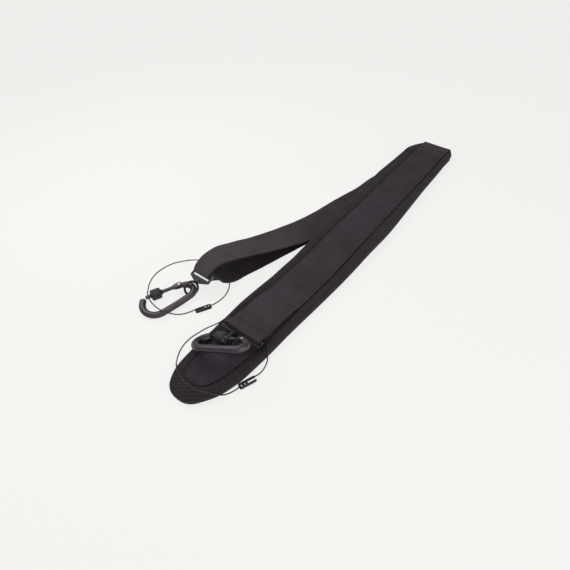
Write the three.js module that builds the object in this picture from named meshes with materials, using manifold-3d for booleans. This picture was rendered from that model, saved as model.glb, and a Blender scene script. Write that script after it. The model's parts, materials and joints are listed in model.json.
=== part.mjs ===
// A padded shoulder strap for a cello case, lying as if just put down.
//
// Millimetres, +Z up, floor at z = 0. The strap frame used below runs x along the pad from the tip
// of its tongue to its far end, and y to the pad's left, where the adjustable webbing loops back
// alongside it. The last lines move the origin to the middle of the resting footprint.
import * as THREE from 'three';
import { mergeVertices } from 'three/addons/utils/BufferGeometryUtils.js';
import Module from 'manifold-3d';

// Driving dimensions.
const clearance = 0.3;
const webbing = { width: 46, thickness: 1.6, bevel: 0.7 };
const bar = { radius: 2.5, sides: 16 };
const eye = {
  innerWidth: 47.5, outerWidth: 52.5, thickness: 2.6, slotTop: 8.5, shoulder: 9.5,
  waistHalf: 15, waistTop: 12.2, apexHalf: 3, apexTop: 14.9,
  ringCentre: 23.5, ringRadius: 8.3, ringWire: 1.4, pinholeRadius: 1, pinholeAcross: 7, pinholeTop: 11.4,
};
const slider = { length: 28.5, width: 58, thickness: 2.6, bar: 3.5, inner: 50, z: 4.4, y: -5, corner: 4 };
const sliderBars = { near: 557, centre: 569, far: 582 };
const rod = { radius: 4, neck: 2.9, sides: 12 };
const hookArc = { u: 0.5, v: 16.3, radius: 16.3, from: 140, to: 270, steps: 11 };
const topArc = { u: 36.5, v: 9.2, radius: 9.2, from: -90, to: 65, steps: 10 };
const nose = {
  u: -8.3, v: 31.2, tipRadius: 3.3, taper: 0.16, slot: 3.2, slotStart: 36.2, slotEnd: 43.6, slotReach: 4.6,
};
const hinge = {
  u: 35.3, v: 21.3, tongue: 2.4, reach: 3.2, earOuter: 6.2, neckPlaces: [0.45, 0.83], relief: 0.5,
  pinRadius: 1.1, headRadius: 1.9, headThickness: 0.6,
};
const gate = {
  direction: 166.1, shaft: 2.2, collar: 3.5, collarStart: 21.6, collarEnd: 36, chamfer: 0.8, end: 42,
  blade: 2.6, bladeHalf: 2.3, forkEnd: 4.4, forkRoot: 7, rootHalf: 2.8,
};
const nut = { radius: 6.75, bore: 3.8, start: 23.1, length: 12.2, chamfer: 0.8, sides: 26 };
const cable = { radius: 0.7, sides: 8, steps: 80 };
const connector = {
  width: 7, height: 4, length: 19.6, dotRadius: 0.8, dotPitch: 4, forkDepth: 9.6, forkSlot: 1.4,
};
const panel = { thickness: 1.2, lift: 0.3 };

// Where the hooks and strap eyes lie.
const eyeAdjuster = {
  origin: new THREE.Vector3(128, 93.4, 18.4),
  apex: new THREE.Vector3(-0.92, 0.054, -0.389),
  across: new THREE.Vector3(0.23, 0.876, -0.424),
};
const eyePad = {
  origin: new THREE.Vector3(93, -3.5, 15.8),
  apex: new THREE.Vector3(-0.891, 0, 0.454),
  across: new THREE.Vector3(0, 1, 0),
};
const hookAdjuster = {
  origin: new THREE.Vector3(62.6, 96.3, 4.55),
  along: new THREE.Vector3(0.979, -0.204, 0.0737),
  across: new THREE.Vector3(0.204, 0.979, 0.0797),
};
const hookPad = {
  origin: new THREE.Vector3(44.6, 10.3, 30.5),
  along: new THREE.Vector3(0.358, -0.879, 0.313),
  across: new THREE.Vector3(0.865, 0.193, -0.454),
};

// Connectors: their middle, and the way their dotted end points; the cable leaves one arm of the other end.
const connectorAdjuster = {
  middle: new THREE.Vector3(96.2, 65.45, 2.2),
  along: new THREE.Vector3(0.888, -0.459, 0),
};
const connectorPad = {
  middle: new THREE.Vector3(54.3, -39.8, 2.2),
  along: new THREE.Vector3(-0.938, 0.346, 0),
};

// Shoulder pad: a row for each section; under is its underside, which rides up over the webbing.
const padRows = [
  { x: 0, right: -8, left: 14, under: 2.2, thick: 5 },
  { x: 4, right: -14, left: 20, under: 0.6, thick: 8.3 },
  { x: 12, right: -20, left: 25, under: 0.1, thick: 9.4 },
  { x: 24, right: -27, left: 29.5, under: 0.1, thick: 9.4 },
  { x: 44, right: -33, left: 31.5, under: 0.1, thick: 9.4 },
  { x: 80, right: -36.5, left: 32.5, under: 0.1, thick: 9.4 },
  { x: 130, right: -38, left: 34, under: 0.1, thick: 9.4 },
  { x: 190, right: -41, left: 31.5, under: 0.1, thick: 9.4 },
  { x: 230, right: -43, left: 31, under: 1.2, thick: 9.4 },
  { x: 265, right: -44.5, left: 31.5, under: 3.9, thick: 9.4 },
  { x: 283, right: -44.8, left: 32.2, under: 5.1, thick: 9.4 },
  { x: 300, right: -45, left: 33.2, under: 5.1, thick: 9.4 },
  { x: 340, right: -45.5, left: 35, under: 4.8, thick: 9.4 },
  { x: 400, right: -42.5, left: 37.4, under: 4.4, thick: 9.4 },
  { x: 470, right: -38.7, left: 39.5, under: 4.3, thick: 9.4 },
  { x: 504, right: -37.8, left: 38, under: 4.8, thick: 9.4 },
  { x: 525, right: -37.5, left: 37, under: 6.4, thick: 8.8 },
  { x: 540, right: -37.3, left: 35.8, under: 8, thick: 7.8 },
  { x: 548, right: -37.2, left: 34.8, under: 10.6, thick: 6.4 },
  { x: 565, right: -36.8, left: 31, under: 10.9, thick: 6 },
  { x: 577, right: -35, left: 27, under: 10, thick: 5.8 },
  { x: 587, right: -31, left: 23, under: 9.4, thick: 5.4 },
  { x: 592, right: -27, left: 19.5, under: 9.6, thick: 4 },
];

// Smooth panel sewn on the tongue, inside its mesh border.
const panelRows = [
  { x: 18, right: -5, left: 9 },
  { x: 22, right: -11, left: 14.5 },
  { x: 32, right: -16.5, left: 18 },
  { x: 50, right: -21, left: 20 },
  { x: 80, right: -24.5, left: 21 },
  { x: 130, right: -25.5, left: 22 },
];

// Free stretches of the adjustable webbing: the two edges at each section, left edge first.
const lowerRows = [
  { lx: 463.4, ly: 44.4, lz: 1.1, rx: 456, ry: -1.5, rz: 1.1 },
  { lx: 415, ly: 50, lz: 1.1, rx: 407.5, ry: 4.1, rz: 1.1 },
  { lx: 367.9, ly: 59.9, lz: 1.1, rx: 359, ry: 14.3, rz: 1.1 },
  { lx: 318.7, ly: 68.5, lz: 1.1, rx: 308, ry: 23.2, rz: 1.1 },
  { lx: 280.5, ly: 79.6, lz: 1.1, rx: 268.6, ry: 34.6, rz: 1.1 },
  { lx: 242.4, ly: 89.8, lz: 1.1, rx: 230.5, ry: 44.8, rz: 1.1 },
  { lx: 206.7, ly: 99.1, lz: 1.1, rx: 194.8, ry: 54.1, rz: 1.1 },
  { lx: 174, ly: 107, lz: 1.4, rx: 161, ry: 63, rz: 2.6 },
  { lx: 157, ly: 108, lz: 2.6, rx: 141, ry: 62.5, rz: 9.2 },
  { lx: 143, ly: 112, lz: 2.2, rx: 129.5, ry: 69, rz: 18 },
];
const upperRows = [
  { lx: 144, ly: 116.8, lz: 16.2, rx: 131.5, ry: 75.2, rz: 33.8 },
  { lx: 167, ly: 113.5, lz: 20, rx: 149, ry: 73, rz: 32.5 },
  { lx: 192.3, ly: 105, lz: 17, rx: 171, ry: 65.5, rz: 28.5 },
  { lx: 222.6, ly: 92.2, lz: 13.4, rx: 200.5, ry: 52, rz: 23 },
  { lx: 249, ly: 84.8, lz: 9.5, rx: 232, ry: 41.4, rz: 16 },
  { lx: 275.8, ly: 78.4, lz: 5.6, rx: 262, ry: 34.8, rz: 7.4 },
  { lx: 296, ly: 73, lz: 4.2, rx: 282.5, ry: 29.4, rz: 4 },
  { lx: 318.7, ly: 67.7, lz: 3.6, rx: 305.5, ry: 23.6, rz: 3.4 },
  { lx: 367.9, ly: 59.9, lz: 3.1, rx: 359, ry: 14.3, rz: 3.1 },
  { lx: 415, ly: 50, lz: 3.1, rx: 407.5, ry: 4.1, rz: 3.1 },
  { lx: 463.4, ly: 44.4, lz: 3.1, rx: 456, ry: -1.5, rz: 3.1 },
];

// Webbing inside the slider: the middle of the ribbon, its width straight across the bars.
const lowerTailRows = [
  { x: 523, y: -3.5, z: 3.1 },
  { x: 534, y: -4.2, z: 3.1 },
  { x: 542, y: -4.7, z: 4.1 },
  { x: 550, y: -5, z: 6.7 },
];
const lowerSliderRows = [
  { x: 547, y: -4.6, z: 1.1 },
  { x: 530, y: -2.5, z: 1.1 },
  { x: 510, y: 3.5, z: 1.1 },
  { x: 488, y: 12, z: 1.1 },
];
const upperSliderRows = [
  { x: 488, y: 12, z: 3.1 },
  { x: 505, y: 5.2, z: 3.4 },
  { x: 515, y: 1.4, z: 4.6 },
  { x: 525, y: -2, z: 5.2 },
  { x: 535, y: -3.8, z: 5.4 },
  { x: 543, y: -4.8, z: 6.8 },
  { x: 550, y: -5, z: 9.2 },
  { x: 555, y: -5, z: 9.6 },
  { x: 561, y: -5, z: 9.6 },
  { x: 565, y: -5, z: 8.9 },
];

// Webbing sewn on the pad, from its hidden return layer round the bar and along the pad's top.
const padReturnRows = [
  { x: 150, y: -3.2, z: 11.2 },
  { x: 134, y: -2.5, z: 12 },
  { x: 112, y: -2.1, z: 12.15 },
  { x: 100, y: -2.8, z: 12.15 },
];
const padTopRows = [
  { x: 101, y: -2.8, z: 17.9 },
  { x: 108, y: -2.2, z: 15.9 },
  { x: 116, y: -2, z: 14.5 },
  { x: 132, y: -2.4, z: 14.1 },
  { x: 150, y: -3.2, z: 13.2 },
  { x: 161, y: -3.8, z: 11 },
  { x: 190, y: -5, z: 10.8 },
  { x: 230, y: -6.2, z: 12 },
  { x: 265, y: -6.7, z: 14.5 },
  { x: 283, y: -6.7, z: 15.8 },
  { x: 300, y: -6.5, z: 15.8 },
  { x: 340, y: -5.6, z: 15.4 },
  { x: 400, y: -4.6, z: 14.9 },
  { x: 470, y: -3.9, z: 14.9 },
  { x: 504, y: -3.7, z: 15.5 },
  { x: 525, y: -3.6, z: 16.5 },
  { x: 540, y: -3.5, z: 17.1 },
  { x: 548, y: -3.4, z: 18.2 },
  { x: 565, y: -3.4, z: 18.1 },
  { x: 577, y: -3.4, z: 17.1 },
  { x: 587, y: -3.4, z: 16.1 },
  { x: 593, y: -3.6, z: 14.4 },
  { x: 595.2, y: -4, z: 10.8 },
  { x: 594.8, y: -4.5, z: 6.5 },
  { x: 591, y: -5, z: 2.8 },
  { x: 586, y: -5, z: 1.2 },
];
const padEndRow = { x: 587.5, y: -5, z: 7.7 };

// Routes of the two steel cables, from one end of their connector round to the other.
const adjusterRoute = [
  [105.2, 60.8, 2.2], [114.4, 60, 1.2], [124, 59.4, 1.4], [131.2, 59.2, 5], [137.2, 60.6, 12],
  [141.5, 66.4, 15.4], [146.6, 74.5, 15.6], [150.2, 83.9, 14.6], [151.6, 96, 12.2], [150, 109, 10.4],
  [146.4, 121.6, 9.4], [142, 130.4, 8], [137.6, 139, 4.8], [133.4, 146.4, 1.8], [127.4, 151.4, 0.8],
  [117.6, 154.4, 0.8], [104.3, 155.4, 0.8], [93, 152.7, 0.9], [83.6, 147, 1.8], [75.6, 138.4, 5],
  [68.4, 129.6, 9], [63.8, 121, 10.8], [61.4, 112.9, 10.9], [60.2, 104, 10.8], [60.8, 97, 10.4],
  [63, 90.2, 9.2], [67, 85.4, 6], [73.6, 80.6, 2.2], [80.6, 76.2, 1.4], [87.9, 72, 2.2],
];
const padRoute = [
  [64.7, -41.4, 2.2], [71, -42.2, 1.2], [78, -42.2, 1.9], [84.6, -40.8, 5], [89.6, -37.6, 9.2],
  [94.4, -33.6, 12], [98.4, -28.4, 14], [99.2, -22, 15], [99.2, -3, 15], [99.2, 16, 15],
  [98.6, 22.6, 14.6], [95.4, 27.6, 13.6], [89.6, 29.6, 12.4], [83.4, 32.6, 11.2], [77, 38.4, 7.4],
  [68.4, 44.4, 2.6], [58, 47.4, 0.9], [48.6, 46.9, 0.8], [40.6, 44.6, 0.8], [33.4, 40.8, 0.9],
  [27.8, 35.6, 4], [23.4, 30.2, 8.8], [19.6, 24.6, 10.8], [16.6, 18.6, 10.9], [14.2, 11.6, 10.9],
  [12.8, 3.9, 10.9], [13.2, -4.8, 10.9], [15.4, -12.4, 10.9], [18.6, -19.4, 10.9], [22.8, -26, 9.6],
  [27.6, -30.2, 5.6], [34.2, -33, 2.4], [39.4, -34.8, 1.8], [44.8, -36.3, 2.2],
];

const finishes = {
  mesh: { color: 0x151617, roughness: 0.95, metalness: 0 },
  lining: { color: 0x1b1c1e, roughness: 0.9, metalness: 0 },
  webbing: { color: 0x1d1e20, roughness: 0.8, metalness: 0 },
  blackMetal: { color: 0x2b2d30, roughness: 0.35, metalness: 1 },
  steel: { color: 0x8d9196, roughness: 0.3, metalness: 1 },
  cable: { color: 0x222326, roughness: 0.5, metalness: 0.6 },
  connector: { color: 0x1a1b1c, roughness: 0.5, metalness: 0 },
};

const worldX = new THREE.Vector3(1, 0, 0);
const worldY = new THREE.Vector3(0, 1, 0);
const worldZ = new THREE.Vector3(0, 0, 1);
const wasm = await Module();
wasm.setup();

function piece(name, geometry, finish) {
  const mesh = new THREE.Mesh(geometry, new THREE.MeshStandardMaterial(finish));
  mesh.name = name;
  return mesh;
}

function toSolid(geometry) {
  const bare = geometry.clone();
  bare.deleteAttribute('normal');
  bare.deleteAttribute('uv');
  const merged = mergeVertices(bare, 1e-4);
  return new wasm.Manifold(new wasm.Mesh({
    numProp: 3,
    vertProperties: new Float32Array(merged.attributes.position.array),
    triVerts: new Uint32Array(merged.index.array),
  }));
}

function toGeometry(solid) {
  const mesh = solid.getMesh();
  const geometry = new THREE.BufferGeometry();
  geometry.setAttribute('position', new THREE.BufferAttribute(mesh.vertProperties, 3));
  geometry.setIndex(new THREE.BufferAttribute(mesh.triVerts, 1));
  geometry.computeVertexNormals();
  return geometry;
}

// Closed skin through rings of points that run right-handed about the direction of travel.
function loft(rings) {
  const sides = rings[0].length;
  const last = (rings.length - 1) * sides;
  const indices = [];
  for (let row = 0; row < last; row += sides) {
    for (let side = 0; side < sides; side++) {
      const next = (side + 1) % sides;
      indices.push(row + side, row + next, row + sides + next);
      indices.push(row + side, row + sides + next, row + sides + side);
    }
  }
  for (let side = 1; side < sides - 1; side++) {
    indices.push(0, side + 1, side);
    indices.push(last, last + side, last + side + 1);
  }
  const geometry = new THREE.BufferGeometry();
  geometry.setFromPoints(rings.flat());
  geometry.setIndex(indices);
  geometry.computeVertexNormals();
  return geometry;
}

function polar(radius, degrees) {
  const angle = THREE.MathUtils.degToRad(degrees);
  return [radius * Math.cos(angle), radius * Math.sin(angle)];
}

function boxSolid(x, y, z, cx, cy, cz) {
  const box = new THREE.BoxGeometry(x, y, z);
  box.translate(cx, cy, cz);
  return toSolid(box);
}

// Cylinder along the local z axis.
function postSolid(radius, length, cx, cy, cz, sides) {
  const post = new THREE.CylinderGeometry(radius, radius, length, sides);
  post.rotateX(Math.PI / 2);
  post.translate(cx, cy, cz);
  return toSolid(post);
}

// Webbing: a flat ribbon with bevelled edges through rows of { centre, across }.
function ribbon(rows) {
  const half = webbing.width / 2;
  const flat = half - webbing.bevel;
  const deep = webbing.thickness / 2;
  const section = [[half, 0], [flat, deep], [-flat, deep], [-half, 0], [-flat, -deep], [flat, -deep]];
  const rings = rows.map((row, index) => {
    const before = rows[Math.max(index - 1, 0)].centre;
    const after = rows[Math.min(index + 1, rows.length - 1)].centre;
    const travel = after.clone().sub(before).normalize();
    const normal = travel.cross(row.across).normalize();
    return section.map(([side, lift]) => row.centre.clone()
      .addScaledVector(row.across, side)
      .addScaledVector(normal, lift));
  });
  return loft(rings);
}

function edgeRow({ lx, ly, lz, rx, ry, rz }) {
  const left = new THREE.Vector3(lx, ly, lz);
  const right = new THREE.Vector3(rx, ry, rz);
  const centre = left.clone().add(right).multiplyScalar(0.5);
  return { centre, across: left.sub(right).normalize() };
}

function squareRow({ x, y, z }) {
  return { centre: new THREE.Vector3(x, y, z), across: new THREE.Vector3(0, 1, 0) };
}

// Rows of a ribbon bent round a bar; angles are measured from upward towards ahead.
function wrapRows(centre, upward, ahead, across, radius, from, to, steps) {
  const rows = [];
  for (let step = 0; step <= steps; step++) {
    const [lift, reach] = polar(radius, THREE.MathUtils.lerp(from, to, step / steps));
    const point = centre.clone().addScaledVector(upward, lift).addScaledVector(ahead, reach);
    rows.push({ centre: point, across });
  }
  return rows;
}

const eyeWrap = bar.radius + clearance + webbing.thickness / 2;
const sliderWrap = Math.hypot(slider.bar, slider.thickness) / 2 + clearance + webbing.thickness / 2;

function sliderBarWrap(x, from, to) {
  return wrapRows(new THREE.Vector3(x, slider.y, slider.z), worldZ, worldX, worldY, sliderWrap, from, to, 8);
}

// Adjustable webbing: folded end over the slider's near bar, out below, round the strap eye's bar
// and back above to the slider's centre bar.
function adjusterWebbing() {
  const { origin, apex, across } = eyeAdjuster;
  const upward = across.clone().cross(apex).normalize();
  return ribbon([
    ...lowerTailRows.map(squareRow),
    ...sliderBarWrap(sliderBars.near, 0, 180),
    ...lowerSliderRows.map(squareRow),
    ...lowerRows.map(edgeRow),
    ...wrapRows(origin, upward, apex, across, eyeWrap, 145, 0, 6),
    ...upperRows.map(edgeRow),
    ...upperSliderRows.map(squareRow),
    ...sliderBarWrap(sliderBars.centre, 0, 180),
    squareRow({ x: sliderBars.centre - 4, y: slider.y, z: slider.z - sliderWrap }),
  ]);
}

// Pad webbing: sewn end, round the strap eye's bar, along the pad and round the slider's far bar.
function padWebbing() {
  return ribbon([
    ...padReturnRows.map(squareRow),
    ...wrapRows(eyePad.origin, worldZ, worldX, worldY, eyeWrap, 180, 360, 8),
    ...padTopRows.map(squareRow),
    ...sliderBarWrap(sliderBars.far, 180, 360),
    squareRow(padEndRow),
  ]);
}

// Foam pad: its long sides are full round, a ring of points for each row.
function shoulderPad() {
  const rings = padRows.map(({ x, right, left, under, thick }) => {
    const round = thick / 2;
    const ring = [];
    for (let step = 0; step <= 8; step++) {
      const degrees = -90 + step * 45 - (step > 4 ? 45 : 0);
      const [side, lift] = polar(round, degrees);
      const edge = step <= 4 ? left - round : right + round;
      ring.push(new THREE.Vector3(x, edge + side, under + round + lift));
    }
    ring.push(new THREE.Vector3(x, right + round, under));
    return ring;
  });
  return loft(rings);
}

function tonguePanel() {
  const leftEdge = panelRows.map(({ x, left }) => new THREE.Vector2(x, left));
  const rightEdge = panelRows.map(({ x, right }) => new THREE.Vector2(x, right));
  const outline = new THREE.Shape([...rightEdge, ...leftEdge.reverse()]);
  const geometry = new THREE.ExtrudeGeometry(outline, { depth: panel.thickness, bevelEnabled: false });
  const padTop = padRows[4].under + padRows[4].thick;
  geometry.translate(0, 0, padTop + panel.lift);
  return geometry;
}

// Strap eye, local x across the webbing, y towards the ring, z out of its plate.
function strapEye() {
  const outer = eye.outerWidth / 2;
  const inner = eye.innerWidth / 2;
  const outline = new THREE.Shape([
    [-outer, 0], [-inner, 0], [-inner, eye.slotTop], [inner, eye.slotTop], [inner, 0], [outer, 0],
    [outer, eye.shoulder], [eye.waistHalf, eye.waistTop], [eye.apexHalf, eye.apexTop],
    [-eye.apexHalf, eye.apexTop], [-eye.waistHalf, eye.waistTop], [-outer, eye.shoulder],
  ].map(([x, y]) => new THREE.Vector2(x, y)));
  const plate = new THREE.ExtrudeGeometry(outline, { depth: eye.thickness, bevelEnabled: false });
  plate.translate(0, 0, -eye.thickness / 2);
  const crossbar = new THREE.CylinderGeometry(bar.radius, bar.radius, eye.outerWidth, bar.sides);
  crossbar.rotateZ(Math.PI / 2);
  const ring = new THREE.TorusGeometry(eye.ringRadius, eye.ringWire, 8, 24);
  ring.rotateY(Math.PI / 2);
  ring.translate(0, eye.ringCentre, 0);
  let solid = toSolid(plate).add(toSolid(crossbar)).add(toSolid(ring));
  for (const side of [-1, 1]) {
    const across = side * eye.pinholeAcross;
    solid = solid.subtract(postSolid(eye.pinholeRadius, 2 * eye.thickness, across, eye.pinholeTop, 0, 10));
  }
  return toGeometry(solid);
}

function webSlider() {
  const halfLength = slider.length / 2;
  const halfWidth = slider.width / 2;
  const round = slider.corner;
  const outline = new THREE.Shape();
  outline.absarc(halfLength - round, -halfWidth + round, round, -Math.PI / 2, 0);
  outline.absarc(halfLength - round, halfWidth - round, round, 0, Math.PI / 2);
  outline.absarc(-halfLength + round, halfWidth - round, round, Math.PI / 2, Math.PI);
  outline.absarc(-halfLength + round, -halfWidth + round, round, Math.PI, Math.PI * 1.5);
  const options = { depth: slider.thickness, bevelEnabled: false, curveSegments: 4 };
  const plate = new THREE.ExtrudeGeometry(outline, options);
  const middle = (sliderBars.near + sliderBars.far) / 2;
  plate.translate(middle, slider.y, slider.z - slider.thickness / 2);
  let solid = toSolid(plate);
  for (const [from, to] of [['near', 'centre'], ['centre', 'far']]) {
    const start = sliderBars[from] + slider.bar / 2;
    const end = sliderBars[to] - slider.bar / 2;
    solid = solid.subtract(boxSolid(
      end - start, slider.inner, 2 * slider.thickness, (start + end) / 2, slider.y, slider.z));
  }
  return toGeometry(solid);
}

// Bent rod in the local plane z = 0 through rows of { u, v, radius }.
function planarRod(rows) {
  const rings = rows.map(({ u, v, radius }, index) => {
    const before = rows[Math.max(index - 1, 0)];
    const after = rows[Math.min(index + 1, rows.length - 1)];
    const travel = new THREE.Vector3(after.u - before.u, after.v - before.v, 0).normalize();
    const sideways = worldZ.clone().cross(travel);
    const ring = [];
    for (let side = 0; side < rod.sides; side++) {
      const [reach, lift] = polar(radius, 360 * side / rod.sides);
      ring.push(new THREE.Vector3(u, v, 0).addScaledVector(sideways, reach).addScaledVector(worldZ, lift));
    }
    return ring;
  });
  return loft(rings);
}

function arcRows({ u, v, radius, from, to, steps }) {
  const rows = [];
  for (let step = 0; step <= steps; step++) {
    const [du, dv] = polar(radius, THREE.MathUtils.lerp(from, to, step / steps));
    rows.push({ u: u + du, v: v + dv, radius: rod.radius });
  }
  return rows;
}

function rowBetween(from, to, share, radius) {
  return {
    u: THREE.MathUtils.lerp(from.u, to.u, share),
    v: THREE.MathUtils.lerp(from.v, to.v, share),
    radius,
  };
}

// Snap hook's body: rod with a slotted nose and a thin tongue at the hinge.
function hookBody() {
  const hookRows = arcRows(hookArc);
  const topRows = arcRows(topArc);
  const tipRow = { u: nose.u, v: nose.v, radius: nose.tipRadius };
  const noseRows = [tipRow, rowBetween(nose, hookRows[0], nose.taper, rod.radius)];
  const topEnd = topRows[topRows.length - 1];
  const neckRows = hinge.neckPlaces.map((place) => rowBetween(topEnd, hinge, place, rod.neck));
  let solid = toSolid(planarRod([...noseRows, ...hookRows, ...topRows, ...neckRows]));
  const earReach = hinge.reach + hinge.relief;
  for (const side of [-1, 1]) {
    const lift = side * (hinge.tongue / 2 + rod.radius);
    solid = solid.subtract(postSolid(earReach, 2 * rod.radius, hinge.u, hinge.v, lift, 24));
  }
  solid = solid.subtract(gateRootCut());
  solid = solid.add(postSolid(hinge.reach, hinge.tongue, hinge.u, hinge.v, 0, 20));
  solid = solid.subtract(postSolid(hinge.pinRadius + clearance, rod.radius * 2, hinge.u, hinge.v, 0, 14));
  return toGeometry(solid.subtract(noseSlot()));
}

// Keeps the rod's neck clear of the gate beyond the hinge.
function gateRootCut() {
  const reach = 2 * hinge.reach;
  const cut = new THREE.BoxGeometry(reach, reach, 4 * rod.radius);
  cut.translate(reach / 2, 0, 0);
  cut.rotateZ(THREE.MathUtils.degToRad(gate.direction));
  cut.translate(hinge.u, hinge.v, 0);
  return toSolid(cut);
}

function noseSlot() {
  const length = nose.slotEnd - nose.slotStart;
  const slot = new THREE.BoxGeometry(length, 2 * nose.slotReach, nose.slot);
  slot.translate(nose.slotStart + length / 2, 0, 0);
  slot.rotateZ(THREE.MathUtils.degToRad(gate.direction));
  slot.translate(hinge.u, hinge.v, 0);
  return toSolid(slot);
}

// Gate, local x along its axis from the hinge: forked root, shaft, threaded collar and blade.
function gateArm() {
  const profile = [
    [0, gate.forkEnd], [gate.shaft, gate.forkEnd], [gate.shaft, gate.collarStart],
    [gate.collar, gate.collarStart + gate.chamfer], [gate.collar, gate.collarEnd], [0, gate.collarEnd],
  ].map(([radius, distance]) => new THREE.Vector2(radius, distance));
  const turned = new THREE.LatheGeometry(profile, 16);
  turned.rotateZ(-Math.PI / 2);
  const bladeStart = gate.collarEnd - 1;
  const bladeLength = gate.end - bladeStart;
  let solid = toSolid(turned);
  solid = solid.add(boxSolid(
    bladeLength, 2 * gate.bladeHalf, gate.blade, bladeStart + bladeLength / 2, 0, 0));
  const root = boxSolid(gate.forkRoot, 2 * gate.rootHalf, hinge.earOuter, gate.forkRoot / 2, 0, 0);
  const ears = postSolid(hinge.reach, hinge.earOuter, 0, 0, 0, 20);
  const forkGap = hinge.tongue + 2 * clearance;
  const gapReach = hinge.reach + hinge.relief;
  solid = solid.add(root).add(ears);
  solid = solid.subtract(postSolid(gapReach, forkGap, 0, 0, 0, 24));
  solid = solid.subtract(boxSolid(gapReach, 2 * gapReach, forkGap, -gapReach / 2, 0, 0));
  solid = solid.subtract(postSolid(hinge.pinRadius + clearance, 2 * hinge.earOuter, 0, 0, 0, 14));
  return toGeometry(solid);
}

function hingePin() {
  const under = hinge.earOuter / 2 + clearance;
  const top = under + hinge.headThickness;
  const profile = [
    [0, -top], [hinge.headRadius, -top], [hinge.headRadius, -under], [hinge.pinRadius, -under],
    [hinge.pinRadius, under], [hinge.headRadius, under], [hinge.headRadius, top], [0, top],
  ].map(([radius, lift]) => new THREE.Vector2(radius, lift));
  const pin = new THREE.LatheGeometry(profile, 12);
  pin.rotateX(Math.PI / 2);
  return pin;
}

// Knurled lock nut, local x along the gate.
function lockNut() {
  const end = nut.start + nut.length;
  const profile = [
    [nut.bore, nut.start], [nut.radius - nut.chamfer, nut.start], [nut.radius, nut.start + nut.chamfer],
    [nut.radius, end - nut.chamfer], [nut.radius - nut.chamfer, end], [nut.bore, end], [nut.bore, nut.start],
  ].map(([radius, distance]) => new THREE.Vector2(radius, distance));
  const sleeve = new THREE.LatheGeometry(profile, nut.sides);
  sleeve.rotateZ(-Math.PI / 2);
  return sleeve;
}

function cableTube(route) {
  const corners = [];
  for (let side = 0; side < cable.sides; side++) {
    corners.push(new THREE.Vector2(...polar(cable.radius, 360 * side / cable.sides)));
  }
  const path = new THREE.CatmullRomCurve3(route.map((point) => new THREE.Vector3(...point)));
  const options = { steps: cable.steps, bevelEnabled: false, extrudePath: path };
  return new THREE.ExtrudeGeometry(new THREE.Shape(corners), options);
}

// Flat oval sleeve over both cable ends, local x along it; dots at one end, a fork at the other.
function cableConnector() {
  const round = connector.height / 2;
  const reach = connector.width / 2 - round;
  const outline = new THREE.Shape();
  outline.absarc(reach, 0, round, -Math.PI / 2, Math.PI / 2);
  outline.absarc(-reach, 0, round, Math.PI / 2, Math.PI * 1.5);
  const options = { depth: connector.length, bevelEnabled: false, curveSegments: 6 };
  const body = new THREE.ExtrudeGeometry(outline, options);
  body.translate(0, 0, -connector.length / 2);
  body.rotateX(Math.PI / 2);
  body.rotateZ(Math.PI / 2);
  let solid = toSolid(body);
  for (const count of [0.7, 1.7]) {
    const x = connector.length / 2 - count * connector.dotPitch;
    solid = solid.subtract(postSolid(connector.dotRadius, 2 * connector.height, x, 0, 0, 10));
  }
  const slot = boxSolid(
    2 * connector.forkDepth, connector.forkSlot, 2 * connector.height, -connector.length / 2, 0, 0);
  return toGeometry(solid.subtract(slot));
}

function placed(group, origin, xAxis, yAxis) {
  const x = xAxis.clone().normalize();
  const z = x.clone().cross(yAxis).normalize();
  const y = z.clone().cross(x);
  group.quaternion.setFromRotationMatrix(new THREE.Matrix4().makeBasis(x, y, z));
  group.position.copy(origin);
  return group;
}

function snapHook(suffix, place) {
  const hook = placed(new THREE.Group(), place.origin, place.along, place.across);
  const pivot = new THREE.Group();
  pivot.position.set(hinge.u, hinge.v, 0);
  pivot.add(piece(`hinge_pin_${suffix}`, hingePin(), finishes.steel));
  const arm = new THREE.Group();
  arm.rotation.z = THREE.MathUtils.degToRad(gate.direction);
  arm.add(piece(`gate_${suffix}`, gateArm(), finishes.blackMetal));
  arm.add(piece(`lock_nut_${suffix}`, lockNut(), finishes.blackMetal));
  pivot.add(arm);
  hook.add(piece(`hook_body_${suffix}`, hookBody(), finishes.blackMetal));
  hook.add(pivot);
  return hook;
}

function cableLoop(suffix, route, { middle, along }) {
  const loop = new THREE.Group();
  loop.add(piece(`cable_${suffix}`, cableTube(route), finishes.cable));
  const sleeve = piece(`connector_${suffix}`, cableConnector(), finishes.connector);
  loop.add(placed(sleeve, middle, along, new THREE.Vector3(-along.y, along.x, 0)));
  return loop;
}

function strapEyeAt(name, { origin, apex, across }) {
  return placed(piece(name, strapEye(), finishes.blackMetal), origin, across, apex);
}

const strap = new THREE.Group();
strap.add(piece('shoulder_pad', shoulderPad(), finishes.mesh));
strap.add(piece('tongue_panel', tonguePanel(), finishes.lining));
strap.add(piece('pad_webbing', padWebbing(), finishes.webbing));
strap.add(piece('adjuster_webbing', adjusterWebbing(), finishes.webbing));
strap.add(piece('slider', webSlider(), finishes.blackMetal));
strap.add(strapEyeAt('strap_eye_pad', eyePad));
strap.add(strapEyeAt('strap_eye_adjuster', eyeAdjuster));
strap.add(snapHook('pad', hookPad));
strap.add(snapHook('adjuster', hookAdjuster));

// The footprint is measured without the loose cables.
strap.updateMatrixWorld(true);
const footprint = new THREE.Box3().setFromObject(strap, true);
const middle = footprint.getCenter(new THREE.Vector3());
strap.add(cableLoop('pad', padRoute, connectorPad));
strap.add(cableLoop('adjuster', adjusterRoute, connectorAdjuster));
strap.position.set(-middle.x, -middle.y, -footprint.min.z);

const group = new THREE.Group();
group.add(strap);
export default group;
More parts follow.
